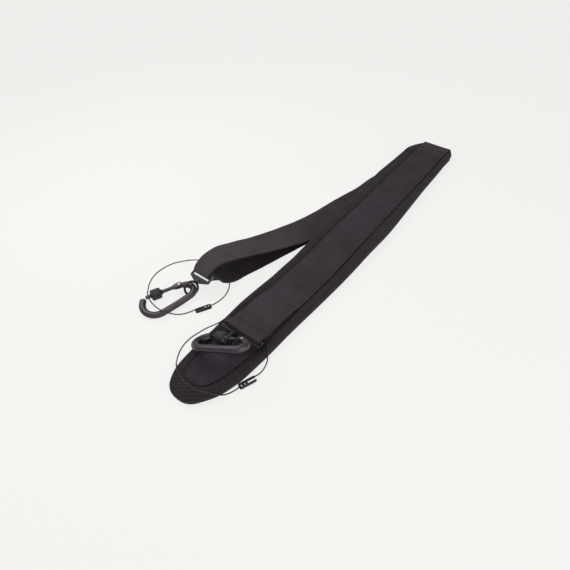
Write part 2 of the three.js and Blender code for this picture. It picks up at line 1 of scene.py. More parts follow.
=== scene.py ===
import json
import bpy
import numpy as np
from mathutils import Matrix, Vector


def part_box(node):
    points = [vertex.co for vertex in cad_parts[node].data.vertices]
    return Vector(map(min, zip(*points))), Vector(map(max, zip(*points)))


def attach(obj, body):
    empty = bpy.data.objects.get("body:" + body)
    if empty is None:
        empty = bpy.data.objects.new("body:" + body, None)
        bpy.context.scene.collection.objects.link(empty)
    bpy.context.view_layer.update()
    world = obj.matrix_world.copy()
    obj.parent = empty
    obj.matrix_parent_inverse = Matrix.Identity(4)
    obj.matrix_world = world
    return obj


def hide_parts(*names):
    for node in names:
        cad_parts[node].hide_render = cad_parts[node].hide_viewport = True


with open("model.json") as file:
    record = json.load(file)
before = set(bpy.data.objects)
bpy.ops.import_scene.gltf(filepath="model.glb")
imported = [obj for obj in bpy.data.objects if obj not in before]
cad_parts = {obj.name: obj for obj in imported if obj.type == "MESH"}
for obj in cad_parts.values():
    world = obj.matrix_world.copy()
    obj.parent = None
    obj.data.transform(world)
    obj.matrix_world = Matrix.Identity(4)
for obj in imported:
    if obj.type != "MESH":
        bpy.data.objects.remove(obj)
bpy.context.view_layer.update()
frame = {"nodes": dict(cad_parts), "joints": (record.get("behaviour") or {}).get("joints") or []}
joints = {joint["name"]: joint for joint in frame["joints"]}
print("frame loaded:", len(frame["nodes"]), "nodes")

# The strap frame runs x along the pad from its tongue, y to the pad's left and z up, in millimetres.
padReach = {"right": 45.5, "lift": 0.1}
strapOrigin = np.array(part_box("shoulder_pad")[0]) + np.array([0, padReach["right"], -padReach["lift"]]) / 1000


def toRow(points):
    # strap frame millimetres to row frame metres: origin + point / 1000
    return strapOrigin + np.asarray(points, float) / 1000


def unit(vectors):
    # each vector over its own length
    vectors = np.asarray(vectors, float)
    return vectors / np.linalg.norm(vectors, axis=-1, keepdims=True)


def placer(origin, xAxis, zAxis):
    # local millimetres to row metres: origin + x X + y (Z cross X) + z Z, over 1000
    zAxis = unit(zAxis)
    xAxis = unit(np.asarray(xAxis) - zAxis * np.dot(zAxis, xAxis))
    axes = np.stack([xAxis, np.cross(zAxis, xAxis), zAxis])
    return lambda points: np.asarray(origin) + np.asarray(points, float) @ axes / 1000


def smoothRows(table, step):
    # Rows every step along the path of the first three columns: a cubic between rows, whose slope at a row is
    # the mean of the slopes on both sides, each weighted by the other side's length.
    rows = np.asarray(table, float)
    knots = lengthAlong(rows[:, :3])
    gaps = np.diff(knots)
    slopes = np.diff(rows, axis=0) / gaps[:, None]
    before, after = gaps[:-1, None], gaps[1:, None]
    inner = (slopes[:-1] * after + slopes[1:] * before) / (before + after)
    tangents = np.concatenate([slopes[:1], inner, slopes[-1:]])
    along = np.linspace(0, knots[-1], int(round(knots[-1] / step)) + 1)
    index = np.clip(np.searchsorted(knots, along, side="right") - 1, 0, len(gaps) - 1)
    width = gaps[index, None]
    t = (along[:, None] - knots[index, None]) / width
    return (rows[index] * (2 * t**3 - 3 * t**2 + 1) + rows[index + 1] * (3 * t**2 - 2 * t**3)
            + width * (tangents[index] * (t**3 - 2 * t**2 + t) + tangents[index + 1] * (t**3 - t**2)))


def gridShell(grid, closed=True, caps=True):
    # Quads between neighbouring rows and columns of a (rows, columns, 3) grid. A closed grid joins its
    # last column to its first, and caps fill its end rings. UV is the length along each row and down the
    # rows, in millimetres.
    rows, cols = grid.shape[:2]
    span = cols if closed else cols - 1
    row, col = [index.ravel() for index in np.meshgrid(np.arange(rows - 1), np.arange(span), indexing="ij")]
    following = (col + 1) % cols
    quads = np.stack([row * cols + col, row * cols + following,
                      (row + 1) * cols + following, (row + 1) * cols + col], axis=1)
    ring = np.concatenate([grid, grid[:, :1]], axis=1) if closed else grid
    u = np.cumsum(np.linalg.norm(np.diff(ring, axis=1), axis=2), axis=1)
    u = np.concatenate([np.zeros((rows, 1)), u], axis=1)
    v = np.concatenate([[0], np.cumsum(np.linalg.norm(np.diff(grid, axis=0), axis=2).mean(axis=1))])
    uv = np.stack([u, np.broadcast_to(v[:, None], u.shape)], axis=2)
    quadUv = np.stack([uv[row, col], uv[row, col + 1], uv[row + 1, col + 1], uv[row + 1, col]], axis=1)
    shell = {"points": grid.reshape(-1, 3), "quads": quads, "quadUv": quadUv, "caps": [], "capUv": []}
    if closed and caps:
        shell["caps"] = [np.arange(cols)[::-1], np.arange(cols) + (rows - 1) * cols]
        shell["capUv"] = [uv[0, :cols][::-1], uv[-1, :cols]]
    return outward(shell)


def outward(shell):
    # The volume is the sum of a . (b x c) / 6 over the triangles; where it is negative, all faces turn.
    points, quads = shell["points"], shell["quads"]
    fans = [np.stack([np.full(len(cap) - 2, cap[0]), cap[1:-1], cap[2:]], axis=1) for cap in shell["caps"]]
    triangles = np.concatenate([quads[:, [0, 1, 2]], quads[:, [0, 2, 3]], *fans])
    a, b, c = (points[triangles[:, corner]] - points.mean(0) for corner in range(3))
    if np.einsum("ij,ij->", a, np.cross(b, c)) < 0:
        shell = {**shell, "quads": quads[:, ::-1], "quadUv": shell["quadUv"][:, ::-1],
                 "caps": [cap[::-1] for cap in shell["caps"]], "capUv": [uv[::-1] for uv in shell["capUv"]]}
    return shell


def joinShells(*shells):
    # Shells laid end to end: each one's faces count on from the points before it.
    starts = np.concatenate([[0], np.cumsum([len(shell["points"]) for shell in shells])])
    return {
        "points": np.concatenate([shell["points"] for shell in shells]),
        "quads": np.concatenate([shell["quads"] + start for shell, start in zip(shells, starts)]),
        "quadUv": np.concatenate([shell["quadUv"] for shell in shells]),
        "caps": [cap + start for shell, start in zip(shells, starts) for cap in shell["caps"]],
        "capUv": [uv for shell in shells for uv in shell["capUv"]],
    }


def reordered(shell, order, step=0):
    # a shell with its axes in another order, then moved by a step
    return {**shell, "points": shell["points"][:, order] + step}


def repeatShell(shell, origins, xAxes, zAxes):
    # One copy for each origin: origin + x X + y (Z cross X) + z Z.
    zAxes = unit(np.broadcast_to(zAxes, np.shape(origins)))
    xAxes = unit(xAxes - zAxes * np.sum(xAxes * zAxes, axis=1, keepdims=True))
    axes = np.stack([xAxes, np.cross(zAxes, xAxes), zAxes], axis=1)
    count, size = len(origins), len(shell["points"])
    starts = np.arange(count) * size
    points = np.asarray(origins)[:, None] + shell["points"] @ axes
    return {
        "points": points.reshape(-1, 3),
        "quads": (shell["quads"][None] + starts[:, None, None]).reshape(-1, 4),
        "quadUv": np.tile(shell["quadUv"], (count, 1, 1)),
        "caps": [cap + start for start in starts for cap in shell["caps"]],
        "capUv": shell["capUv"] * count,
    }


def sweepShell(centres, sideways, upward, section, closedPath=False):
    # A section carried along a path: centre + s * sideways + h * upward for each (s, h) of the section.
    section = np.broadcast_to(section, (len(centres),) + np.shape(section)[-2:])
    sideways, upward = (np.broadcast_to(way, centres.shape) for way in (sideways, upward))
    grid = centres[:, None] + section[..., :1] * sideways[:, None] + section[..., 1:2] * upward[:, None]
    if closedPath:
        return gridShell(np.concatenate([grid, grid[:1]]), caps=False)
    return gridShell(grid)


def straightShell(x, section, height=0.0):
    # A section carried along local x at a height, its first measure sideways and its second up.
    return sweepShell(np.stack([x, 0 * x, 0 * x + height], axis=1), [0, 1, 0], [0, 0, 1], section)


def lengthAlong(path):
    # length of a path up to each of its points
    return np.concatenate([[0], np.cumsum(np.linalg.norm(np.diff(path, axis=0), axis=1))])


def bell(distance, width):
    # 1 on a line and falling off beside it: exp(-(d / width)^2)
    return np.exp(-((distance / width) ** 2))


def oval(halfWidth, halfHeight, count, power=2.0):
    # Superellipse: |s / a|^n + |h / b|^n = 1, a ring for each half width and half height.
    angle = np.arange(count) / count * 2 * np.pi
    cosine, sine = np.cos(angle), np.sin(angle)
    s = np.sign(cosine) * np.abs(cosine) ** (2 / power)
    h = np.sign(sine) * np.abs(sine) ** (2 / power)
    halfWidth, halfHeight = np.broadcast_arrays(np.atleast_1d(halfWidth), np.atleast_1d(halfHeight))
    return np.stack([halfWidth[:, None] * s, halfHeight[:, None] * h], axis=2)


def turned(profile, count):
    # Lathe about local x: rings of radius r at x for each (x, r) of the profile, closed at both ends.
    profile = np.asarray(profile, float)
    angle = np.arange(count) / count * 2 * np.pi
    x = np.broadcast_to(profile[:, :1], (len(profile), count))
    return np.stack([x, profile[:, 1:] * np.cos(angle), profile[:, 1:] * np.sin(angle)], axis=2)


def plateShell(outline, low, high, bevel, steps=4):
    # A flat outline made thick: its rim is a quarter round of the bevel's radius at both faces.
    outline = np.asarray(outline, float)
    ahead = unit(np.roll(outline, -1, axis=0) - outline)
    behind = unit(outline - np.roll(outline, 1, axis=0))
    inward = unit(ahead + behind)[:, ::-1] * np.array([-1, 1])
    angle = np.linspace(0, np.pi / 2, steps + 1)
    inset = np.concatenate([bevel * (1 - np.sin(angle)), bevel * (1 - np.cos(angle))])
    level = np.concatenate([low + bevel * (1 - np.cos(angle)), high - bevel * (1 - np.sin(angle))])
    flat = outline[None] + inward[None] * inset[:, None, None]
    lift = np.broadcast_to(level[:, None, None], flat.shape[:2] + (1,))
    return gridShell(np.concatenate([flat, lift], axis=2))


def roundedLoop(corners, each, smoothing):
    # A closed outline with points evenly along each side, its corners rounded by averaging neighbours.
    corners = np.array(corners, float)
    share = np.arange(each)[:, None] / each
    sides = [a + share * (b - a) for a, b in zip(corners, np.roll(corners, -1, axis=0))]
    loop = np.concatenate(sides)
    for _ in range(smoothing):
        loop = (np.roll(loop, 1, axis=0) + 2 * loop + np.roll(loop, -1, axis=0)) / 4
    return loop


def addObject(name, data):
    # An object at the origin, linked to the scene.
    thing = bpy.data.objects.new(name, data)
    bpy.context.scene.collection.objects.link(thing)
    return thing


def lookAt(thing, place, aim):
    # Stands at one point of the strap frame and faces another along its own -z.
    place, aim = toRow(place), toRow(aim)
    thing.location = place
    thing.rotation_euler = Vector(aim - place).to_track_quat("-Z", "Y").to_euler()


def meshOf(name, shell, place):
    # The shell's points at their place, with its quads and caps as faces.
    mesh = bpy.data.meshes.new(name)
    faces = shell["quads"].tolist() + [cap.tolist() for cap in shell["caps"]]
    mesh.from_pydata(place(shell["points"]).tolist(), [], faces)
    return mesh


def makePiece(name, shell, material, body="strap", stands=(), place=toRow, crease=42):
    # One finished piece: smooth but for creases sharper than an angle, riding on its body.
    mesh = meshOf(name, shell, place)
    layer = mesh.uv_layers.new(name="UVMap")
    corners = np.concatenate([shell["quadUv"].reshape(-1, 2), *shell["capUv"]])
    layer.data.foreach_set("uv", corners.ravel())
    mesh.polygons.foreach_set("use_smooth", np.ones(len(mesh.polygons), bool))
    mesh.set_sharp_from_angle(angle=np.radians(crease))
    mesh.materials.append(material)
    mesh.update()
    piece = addObject(name, mesh)
    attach(piece, body)
    if stands:
        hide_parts(*stands)
    return piece


def carve(piece, shells, place):
    # Cuts closed shells out of a piece, and keeps the result as the piece's own mesh.
    cutters = [addObject("cutter", meshOf("cutter", shell, place)) for shell in shells]
    for cutter in cutters:
        cut = piece.modifiers.new("cut", "BOOLEAN")
        cut.object, cut.operation, cut.solver, cut.use_self = cutter, "DIFFERENCE", "EXACT", True
    graph = bpy.context.evaluated_depsgraph_get()
    carved = bpy.data.meshes.new_from_object(piece.evaluated_get(graph))
    piece.modifiers.clear()
    piece.data = carved
    for cutter in cutters:
        bpy.data.objects.remove(cutter)


# Camera: it stands over the tongue end and looks along the pad, near and far in metres.
view = {"place": (-91.8, -200.9, 382.0), "aim": (186.1, 13.9, 0.0), "lens": 26.4, "near": 0.01, "far": 20}


def makeCamera():
    # a camera at its place, turned to its aim
    data = bpy.data.cameras.new("camera")
    data.lens, data.clip_start, data.clip_end = view["lens"], view["near"], view["far"]
    camera = addObject("camera", data)
    lookAt(camera, view["place"], view["aim"])
    bpy.context.scene.camera = camera


makeCamera()


def colour(code):
    # sRGB hex to linear: ((c + 0.055) / 1.055) ^ 2.4, and c / 12.92 on its short straight toe
    c = np.array([int(code[i:i + 2], 16) for i in (0, 2, 4)]) / 255
    return (*np.where(c > 0.04045, ((c + 0.055) / 1.055) ** 2.4, c / 12.92), 1.0)


def addNode(tree, kind, values=None, **settings):
    # A node with its settings. Each value is a node or a socket to link, or a plain value.
    node = tree.nodes.new("ShaderNode" + kind)
    for key, value in settings.items():
        setattr(node, key, value)
    for key, value in (values or {}).items():
        if isinstance(value, bpy.types.Node):
            value = value.outputs[0]
        if isinstance(value, bpy.types.NodeSocket):
            tree.links.new(value, node.inputs[key])
        else:
            node.inputs[key].default_value = value
    return node


def compute(tree, operation, *values):
    # one sum on numbers or sockets
    return addNode(tree, "Math", dict(enumerate(values)), operation=operation)


def ramp(tree, factor, *stops):
    # Tones along a factor. A stop is a place and a colour in hex, or a grey.
    node = addNode(tree, "ValToRGB", {0: factor})
    elements = node.color_ramp.elements
    for index, (place, value) in enumerate(stops):
        element = elements[index] if index < 2 else elements.new(place)
        element.position = place
        element.color = colour(value) if isinstance(value, str) else (value, value, value, 1)
    return node.outputs[0]


def startMaterial(name, **values):
    # A new Principled material with its plain values set.
    material = bpy.data.materials.new(name)
    material.use_nodes = True
    shader = material.node_tree.nodes["Principled BSDF"]
    for key, value in values.items():
        shader.inputs[key.replace("_", " ")].default_value = value
    return material, material.node_tree, shader


def dress(tree, shader, tone, height=None, strength=0.0, depth=0.0):
    # Gives the shader its colour, and a bump: strength times the height, over a depth in metres.
    tree.links.new(tone, shader.inputs["Base Color"])
    if height is not None:
        bump = addNode(tree, "Bump", {"Height": height, "Strength": strength, "Distance": depth})
        tree.links.new(bump.outputs[0], shader.inputs["Normal"])


def waves(tree, coordinate, pitch):
    # Cosine ribs a pitch apart along one coordinate, both in millimetres: cos(2 pi x / pitch).
    return compute(tree, "COSINE", compute(tree, "MULTIPLY", coordinate, 2 * np.pi / pitch))


def uvParts(tree):
    # the two parts of the piece's own UV, in millimetres
    split = addNode(tree, "SeparateXYZ", {0: addNode(tree, "UVMap", uv_map="UVMap")})
    return split.outputs["X"], split.outputs["Y"]


def noise(tree, scale, detail, roughness=0.5, place=None):
    # Fractal noise over the object's own coordinates in metres, or over another place.
    if place is None:
        place = addNode(tree, "TexCoord").outputs["Object"]
    return addNode(tree, "TexNoise", {"Vector": place, "Scale": scale, "Detail": detail,
                                      "Roughness": roughness})


# Woven nylon webbing: matt, ribbed across its width, with a faint sheen and tones a little uneven in broad
# patches.
webbingFinish = {"rib": 2.0, "yarn": 1.3, "dark": "261e24", "light": "362e35", "blotch": 30.0, "grain": 1.1}


def nylonWebbing():
    # height = ribs + yarns * ribs; tone = 0.75 of broad blotches + 0.25 of fine grain
    material, tree, shader = startMaterial("wovenNylonWebbing", Roughness=0.6, Sheen_Weight=0.03,
                                           Sheen_Roughness=0.45, Specular_IOR_Level=0.22)
    u, v = uvParts(tree)
    ribs, yarns = waves(tree, v, webbingFinish["rib"]), waves(tree, u, webbingFinish["yarn"])
    weave = compute(tree, "MULTIPLY_ADD", yarns, ribs, ribs)
    blotch = noise(tree, webbingFinish["blotch"], 3.0, 0.6)
    grain = noise(tree, webbingFinish["grain"], 2.0, place=addNode(tree, "UVMap", uv_map="UVMap"))
    both = compute(tree, "MULTIPLY_ADD", blotch, 0.75, compute(tree, "MULTIPLY", grain, 0.25))
    tone = ramp(tree, both, (0.32, webbingFinish["dark"]), (0.68, webbingFinish["light"]))
    dress(tree, shader, tone, weave, 0.35, 0.00018)
    return material


# Knitted spacer mesh over foam: open cells in a honeycomb, so it takes light unevenly and looks darker. Its
# holes, and the slopes down into them, are painted darker: painted shade inside the open cells.
meshFinish = {"cell": 3.6, "hole": "1d191c", "yarn": "2f292e", "slopeShade": "282327", "patch": 160.0}


def spacerMesh():
    # Three sets of ribs at 60 degrees, added, meet in a honeycomb; their crests are the holes. Rows of
    # cells lie 0.866 of a cell apart.
    material, tree, shader = startMaterial("knittedSpacerMesh", Roughness=0.85, Sheen_Weight=0.06,
                                           Sheen_Roughness=0.5, Specular_IOR_Level=0.2)
    uv = addNode(tree, "UVMap", uv_map="UVMap")
    cells = 0.0
    for turn in np.radians((0, 60, 120)):
        way = (np.cos(turn), np.sin(turn), 0)
        along = addNode(tree, "VectorMath", {0: uv, 1: way}, operation="DOT_PRODUCT").outputs["Value"]
        cells = compute(tree, "ADD", waves(tree, along, meshFinish["cell"] * 0.866), cells)
    patch = noise(tree, meshFinish["patch"], 4.0, 0.7)
    # painted shade: the tone darkens from the yarn down the slopes into the holes
    shade = ramp(tree, cells, (0.0, meshFinish["yarn"]), (0.45, meshFinish["slopeShade"]),
                 (0.8, meshFinish["hole"]))
    wear = ramp(tree, patch, (0.3, 0.72), (0.7, 1.0))
    blend = addNode(tree, "Mix", {"Factor": 1.0, 6: shade, 7: wear}, data_type="RGBA", blend_type="MULTIPLY")
    dress(tree, shader, blend.outputs[2], compute(tree, "MULTIPLY", cells, -1.0), 0.6, 0.0003)
    return material


# Smooth woven lining on the tongue: a fine plain weave, a little shinier than the mesh around it.
liningFinish = {"thread": 1.5, "dark": "1f181f", "light": "2c242d", "blotch": 55.0}


def wovenLining():
    # height = the product of two sets of ribs, one thread apart
    material, tree, shader = startMaterial("wovenPolyesterLining", Roughness=0.65, Sheen_Weight=0.05,
                                           Sheen_Roughness=0.5, Specular_IOR_Level=0.22)
    warp, weft = (waves(tree, part, liningFinish["thread"]) for part in uvParts(tree))
    blotch = noise(tree, liningFinish["blotch"], 4.0)
    tone = ramp(tree, blotch, (0.3, liningFinish["dark"]), (0.7, liningFinish["light"]))
    dress(tree, shader, tone, compute(tree, "MULTIPLY", warp, weft), 0.25, 0.00015)
    return material


# Black nickel on zinc and steel: satin, faintly grained by tumbling, brighter where edges have rubbed.
nickelFinish = {"grainScale": 2500.0, "broadScale": 180.0, "rubbed": (0.52, 0.62, 0.7), "grainDepth": 0.00003}


def blackNickel(name, base, edge, roughness, grain):
    # The base tone goes over to the edge's as the surface gets more pointed; roughness follows broad noise.
    material, tree, shader = startMaterial(name, Metallic=1.0, Roughness=roughness)
    fine, broad = noise(tree, nickelFinish["grainScale"], 2.0), noise(tree, nickelFinish["broadScale"], 3.0)
    pointed = addNode(tree, "NewGeometry").outputs["Pointiness"]
    least, most, share = nickelFinish["rubbed"]
    worn = addNode(tree, "MapRange", {"Value": pointed, "From Min": least, "From Max": most, "To Min": 0.0,
                                      "To Max": share})
    tone = addNode(tree, "Mix", {"Factor": worn, 6: colour(base), 7: colour(edge)}, data_type="RGBA")
    rough = addNode(tree, "MapRange", {"Value": broad, "From Min": 0.3, "From Max": 0.7,
                                       "To Min": roughness - 0.06, "To Max": roughness + 0.08})
    tree.links.new(rough.outputs[0], shader.inputs["Roughness"])
    dress(tree, shader, tone.outputs[2], fine, grain, nickelFinish["grainDepth"])
    return material


# Stranded steel rope under a clear coat: thin, smooth and darker between its strands.
ropeFinish = {"strands": 6, "lay": 6, "dark": "1e1d20", "light": "4a494d"}


def coatedRope(diameter):
    # strand = cos(2 pi * strands * (u / circumference + v / (lay * diameter)))
    material, tree, shader = startMaterial("coatedSteelRope", Metallic=0.8, Roughness=0.35, Coat_Weight=0.2,
                                           Coat_Roughness=0.15)
    u, v = uvParts(tree)
    around = 2 * np.pi * ropeFinish["strands"] / (np.pi * diameter)
    down = 2 * np.pi * ropeFinish["strands"] / (ropeFinish["lay"] * diameter)
    phase = compute(tree, "MULTIPLY_ADD", v, down, compute(tree, "MULTIPLY", u, around))
    strand = compute(tree, "COSINE", phase)
    tone = ramp(tree, strand, (0.0, ropeFinish["dark"]), (0.9, ropeFinish["light"]))
    dress(tree, shader, tone, strand, 0.4, 0.00008)
    return material


# Moulded nylon sleeve: near black with a soft gloss and a faint orange peel.
def mouldedNylon():
    # one fine noise gives both the tone and the height
    material, tree, shader = startMaterial("mouldedNylonSleeve", Roughness=0.3, Specular_IOR_Level=0.3)
    peel = noise(tree, 900.0, 3.0)
    dress(tree, shader, ramp(tree, peel, (0.35, "0c0b0d"), (0.7, "151416")), peel, 0.15, 0.0001)
    return material


# Bright steel, drawn and lightly polished: hinge pins and the crimp dots in the sleeves.
def drawnSteel():
    # the tone follows one fine noise
    material, tree, shader = startMaterial("drawnSteel", Metallic=1.0, Roughness=0.28)
    dress(tree, shader, ramp(tree, noise(tree, 1500.0, 4.0), (0.3, "9b9ca0"), (0.7, "c6c6c8")))
    return material


# Bonded nylon thread: near black, darker than the webbing, with a slight sheen on its twisted plies.
threadFinish = {"ply": 0.6, "dark": "0f0d0f", "light": "1c191c"}


def nylonThread():
    # plies = cos(2 pi (u + v) / pitch), so they slant at 45 degrees
    material, tree, shader = startMaterial("bondedNylonThread", Roughness=0.5, Sheen_Weight=0.2)
    plies = waves(tree, compute(tree, "ADD", *uvParts(tree)), threadFinish["ply"])
    dress(tree, shader, ramp(tree, plies, (0.0, threadFinish["dark"]), (1.0, threadFinish["light"])))
    return material


webbingMaterial = nylonWebbing()
meshMaterial = spacerMesh()
liningMaterial = wovenLining()
hookMaterial = blackNickel("blackNickelForgedRod", "4e494e", "78747a", 0.42, 0.12)
# The die-cast eyes and slider have a darker base than the hooks: painted shade, as for an eye lying in the
# shadow under a webbing fold.
hardwareMaterial = blackNickel("blackNickelDieCast", "363338", "5e5b60", 0.32, 0.1)
knurlMaterial = blackNickel("blackNickelKnurled", "3d3a3f", "8a878c", 0.42, 0.2)
steelMaterial = drawnSteel()
threadMaterial = nylonThread()
print("materials made")

# Free wire loops: each starts and ends in its own sleeve.
cables = {"diameter": 1.4, "sides": 10, "step": 1.1}
cableRoutes = {
    "adjuster": [
        (103.6, 61.7, 2.5), (114.4, 60, 1.2), (124, 59.4, 1.4), (131.2, 59.2, 5), (137.2, 60.6, 12),
        (141.5, 66.4, 15.4), (146.6, 74.5, 15.6), (150.2, 83.9, 14.6), (151.6, 96, 12.2), (150, 109, 10.4),
        (146.4, 121.6, 9.4), (142, 130.4, 8), (137.6, 139, 4.8), (133.4, 146.4, 1.8), (127.4, 151.4, 0.8),
        (117.6, 154.4, 0.8), (104.3, 155.4, 0.8), (93, 152.7, 0.9), (83.6, 147, 1.8), (75.6, 138.4, 5),
        (68.4, 129.6, 9), (63.8, 121, 10.8), (61.4, 112.9, 10.9), (60.2, 104, 10.8), (60.8, 97, 10.4),
        (63, 90.2, 9.2), (67, 85.4, 6), (73.6, 80.6, 2.2), (80.6, 76.2, 1.4), (90.4, 71, 2.5)],
    "pad": [
        (62.3, -40.6, 3.8), (66, -41.9, 3.1), (71, -42.4, 1.4), (78, -42.2, 1.9), (84.6, -40.8, 5),
        (89.6, -37.6, 9.2), (94.4, -33.6, 12), (98.4, -28.4, 14), (99.2, -22, 15), (99.2, -3, 15),
        (99.2, 16, 15), (98.6, 22.6, 14.6), (95.4, 27.6, 13.6), (89.6, 29.6, 12.4), (83.4, 32.6, 11.2),
        (77, 38.4, 7.4), (68.4, 44.4, 2.6), (58, 47.4, 0.9), (48.6, 46.9, 0.8), (40.6, 44.6, 0.8),
        (33.4, 40.8, 0.9), (27.8, 35.6, 4), (23.4, 30.2, 8.8), (19.6, 24.6, 10.8), (16.6, 18.6, 10.9),
        (14.2, 11.6, 10.9), (12.8, 3.9, 10.9), (13.2, -4.8, 10.9), (15.4, -12.4, 10.9), (18.6, -19.4, 10.9),
        (22.8, -26, 9.6), (27.6, -30.2, 5.6), (34.2, -33, 2.4), (39.4, -34.8, 1.8), (46.4, -36.9, 2.7)],
}
sleeves = {"length": 19.6, "halfWidth": 3.5, "halfHeight": 2.0, "power": 2.6, "endRound": 2.2,
           "endShare": 0.45, "slot": 1.5, "slotReach": 3.0, "slotDepth": 9.8, "armHeight": 0.8,
           "armRise": 3.0, "sides": 28, "rings": 33}
dots = {"radius": 0.85, "fromEnd": (2.8, 6.8), "sink": 0.02, "sides": 20,
        "profile": [(-0.6, 0.01), (-0.6, 1), (0, 1), (0.12, 0.8), (0.18, 0.4), (0.2, 0.01)]}
sleevePlaces = {
    "adjuster": {"middle": (96.2, 65.45, 2.2), "along": (0.888, -0.459, 0), "up": (0, 0, 1)},
    "pad": {"middle": (54.3, -39.8, 2.9), "along": (-0.938, 0.346, 0), "up": (-0.146, -0.396, 0.906)},
}
ropeMaterial = coatedRope(cables["diameter"])
sleeveMaterial = mouldedNylon()


def cableLoop(suffix):
    # A round section carried along the route, its up direction square to the path.
    centres = smoothRows(cableRoutes[suffix], cables["step"])
    tangents = unit(np.gradient(centres, axis=0))
    sideways = unit(np.cross([0, 0, 1.0], tangents))
    radius = cables["diameter"] / 2
    shell = sweepShell(centres, sideways, np.cross(tangents, sideways), oval(radius, radius, cables["sides"]))
    cable = makePiece(f"wireLoop_{suffix}", shell, ropeMaterial, stands=[f"cable_{suffix}"])
    return cable, centres


def cableSleeve(suffix):
    # An oval carried along the sleeve, drawn in by sqrt(1 - d^2) within a rounding at both ends. A slot
    # parts its wire end into two lower arms.
    half, wide, reach = sleeves["length"] / 2, sleeves["slot"] / 2, sleeves["slotDepth"]
    spot = sleevePlaces[suffix]
    place = placer(toRow(spot["middle"]), spot["along"], spot["up"])
    x = half * np.sin(np.linspace(-np.pi / 2, np.pi / 2, sleeves["rings"]))
    rounding = np.clip((half - np.abs(x)) / sleeves["endRound"], 0, 1)
    share = sleeves["endShare"] + (1 - sleeves["endShare"]) * np.sqrt(1 - (1 - rounding) ** 2)
    rise = np.clip((x + half - reach) / sleeves["armRise"], 0, 1)
    height = sleeves["halfHeight"] * (sleeves["armHeight"] + (1 - sleeves["armHeight"]) * rise)
    section = oval(sleeves["halfWidth"] * share, height * share, sleeves["sides"], sleeves["power"])
    sleeve = makePiece(f"sleeve_{suffix}", straightShell(x, section), sleeveMaterial,
                       stands=[f"connector_{suffix}"], place=place)
    slot = roundedLoop([(-half - reach, -wide), (reach - half, -wide), (reach - half, wide),
                        (-half - reach, wide)], 8, 0)
    carve(sleeve, [plateShell(slot, -sleeves["slotReach"], sleeves["slotReach"], 0.02, 1)], place)
    return [sleeve, crimpDots(suffix, place)]


def crimpDots(suffix, place):
    # Round buttons, turned from a profile of (height, share of the radius), set into the sleeve's top.
    dotX = sleeves["length"] / 2 - np.array(dots["fromEnd"])
    button = gridShell(turned([(height, share * dots["radius"]) for height, share in dots["profile"]],
                              dots["sides"]))
    origins = np.stack([dotX, 0 * dotX, 0 * dotX + sleeves["halfHeight"] - dots["sink"]], axis=1)
    shell = repeatShell(button, origins, [0, 0, 1.0], [1.0, 0, 0])
    return makePiece(f"crimpDots_{suffix}", shell, steelMaterial, place=place)


for suffix in ("adjuster", "pad"):
    cable, centres = cableLoop(suffix)
    cableSleeve(suffix)

# Shoulder pad. Rows of the outline: x, right edge, left edge, underside, thickness; both ends close on a rim.
padRows = [
    (-2.2, 2, 4.4, 4.2, 0.8), (-1.8, -3, 9, 3.4, 2.6), (-0.2, -8.2, 14.2, 2.2, 5.4), (4, -14, 20, 0.6, 8.3),
    (12, -20, 25, 0.1, 9.4), (24, -27, 29.5, 0.1, 9.4), (44, -33, 31.5, 0.1, 9.4),
    (80, -36.5, 32.5, 0.1, 9.4), (130, -38, 34, 0.1, 9.4), (190, -41, 31.5, 0.1, 9.4),
    (230, -43, 31, 1.2, 9.4), (265, -44.5, 31.5, 3.9, 9.4), (283, -44.8, 32.2, 5.1, 9.4),
    (300, -45, 33.2, 5.1, 9.4), (340, -45.5, 35, 4.8, 9.4), (400, -42.5, 37.4, 4.4, 9.4),
    (470, -38.7, 39.5, 4.3, 9.4), (504, -37.8, 38, 4.8, 9.4), (525, -37.5, 37, 6.4, 8.8),
    (540, -37.3, 35.8, 8, 7.8), (548, -37.2, 34.8, 10.6, 6.4), (565, -36.8, 31, 10.9, 6),
    (577, -35, 27, 10, 5.8), (587, -31, 23, 9.4, 5.4), (592, -27, 19.5, 9.6, 4),
    (593.2, -24, 16.5, 10.6, 1.6)]
padCells = {"step": 2.5, "around": (46, 12, 8)}
padding = {"bulge": 1.5, "reach": 4.0, "dip": 0.5, "dipWidth": 1.6, "lumps": 0.22, "lumpsReach": 6.0,
           "webbingFrom": 103.0, "panelTo": 128.0, "panelGap": 4.0, "start": -2.0, "startEase": 12.0,
           "end": 592.0, "endEase": 20.0}
padOutline = smoothRows(padRows, padCells["step"])


def slabTemplate(top, bottom, edge):
    # (share of the flat half, sideways, upward) round a slab with half-round edges, from left over the top,
    # with so many cells on its top, bottom and edges
    over, under = np.linspace(1, -1, top + 1), np.linspace(-1, 1, bottom + 1)
    right, left = (np.radians(np.linspace(start, start + 180, edge + 1)[1:-1]) for start in (90, -90))
    return np.concatenate([
        np.stack([over, 0 * over, 0 * over + 1], axis=1),
        np.stack([0 * right - 1, np.cos(right), np.sin(right)], axis=1),
        np.stack([under, 0 * under, 0 * under - 1], axis=1),
        np.stack([0 * left + 1, np.cos(left), np.sin(left)], axis=1)])


def slabSections(right, left, thick, template):
    # Slabs between right and left edges: y = middle + share * (half width - r) + r * sideways, and over the
    # underside z = r + r * upward, where r is half the thickness. Gives y, z and the half widths.
    share, sideways, upward = template.T
    half = np.maximum((left - right) / 2, 0.5)[:, None]
    radius = np.minimum(np.reshape(thick, (-1, 1)) / 2, half)
    y = (left + right)[:, None] / 2 + share * (half - radius) + sideways * radius
    return y, radius + upward * radius, half


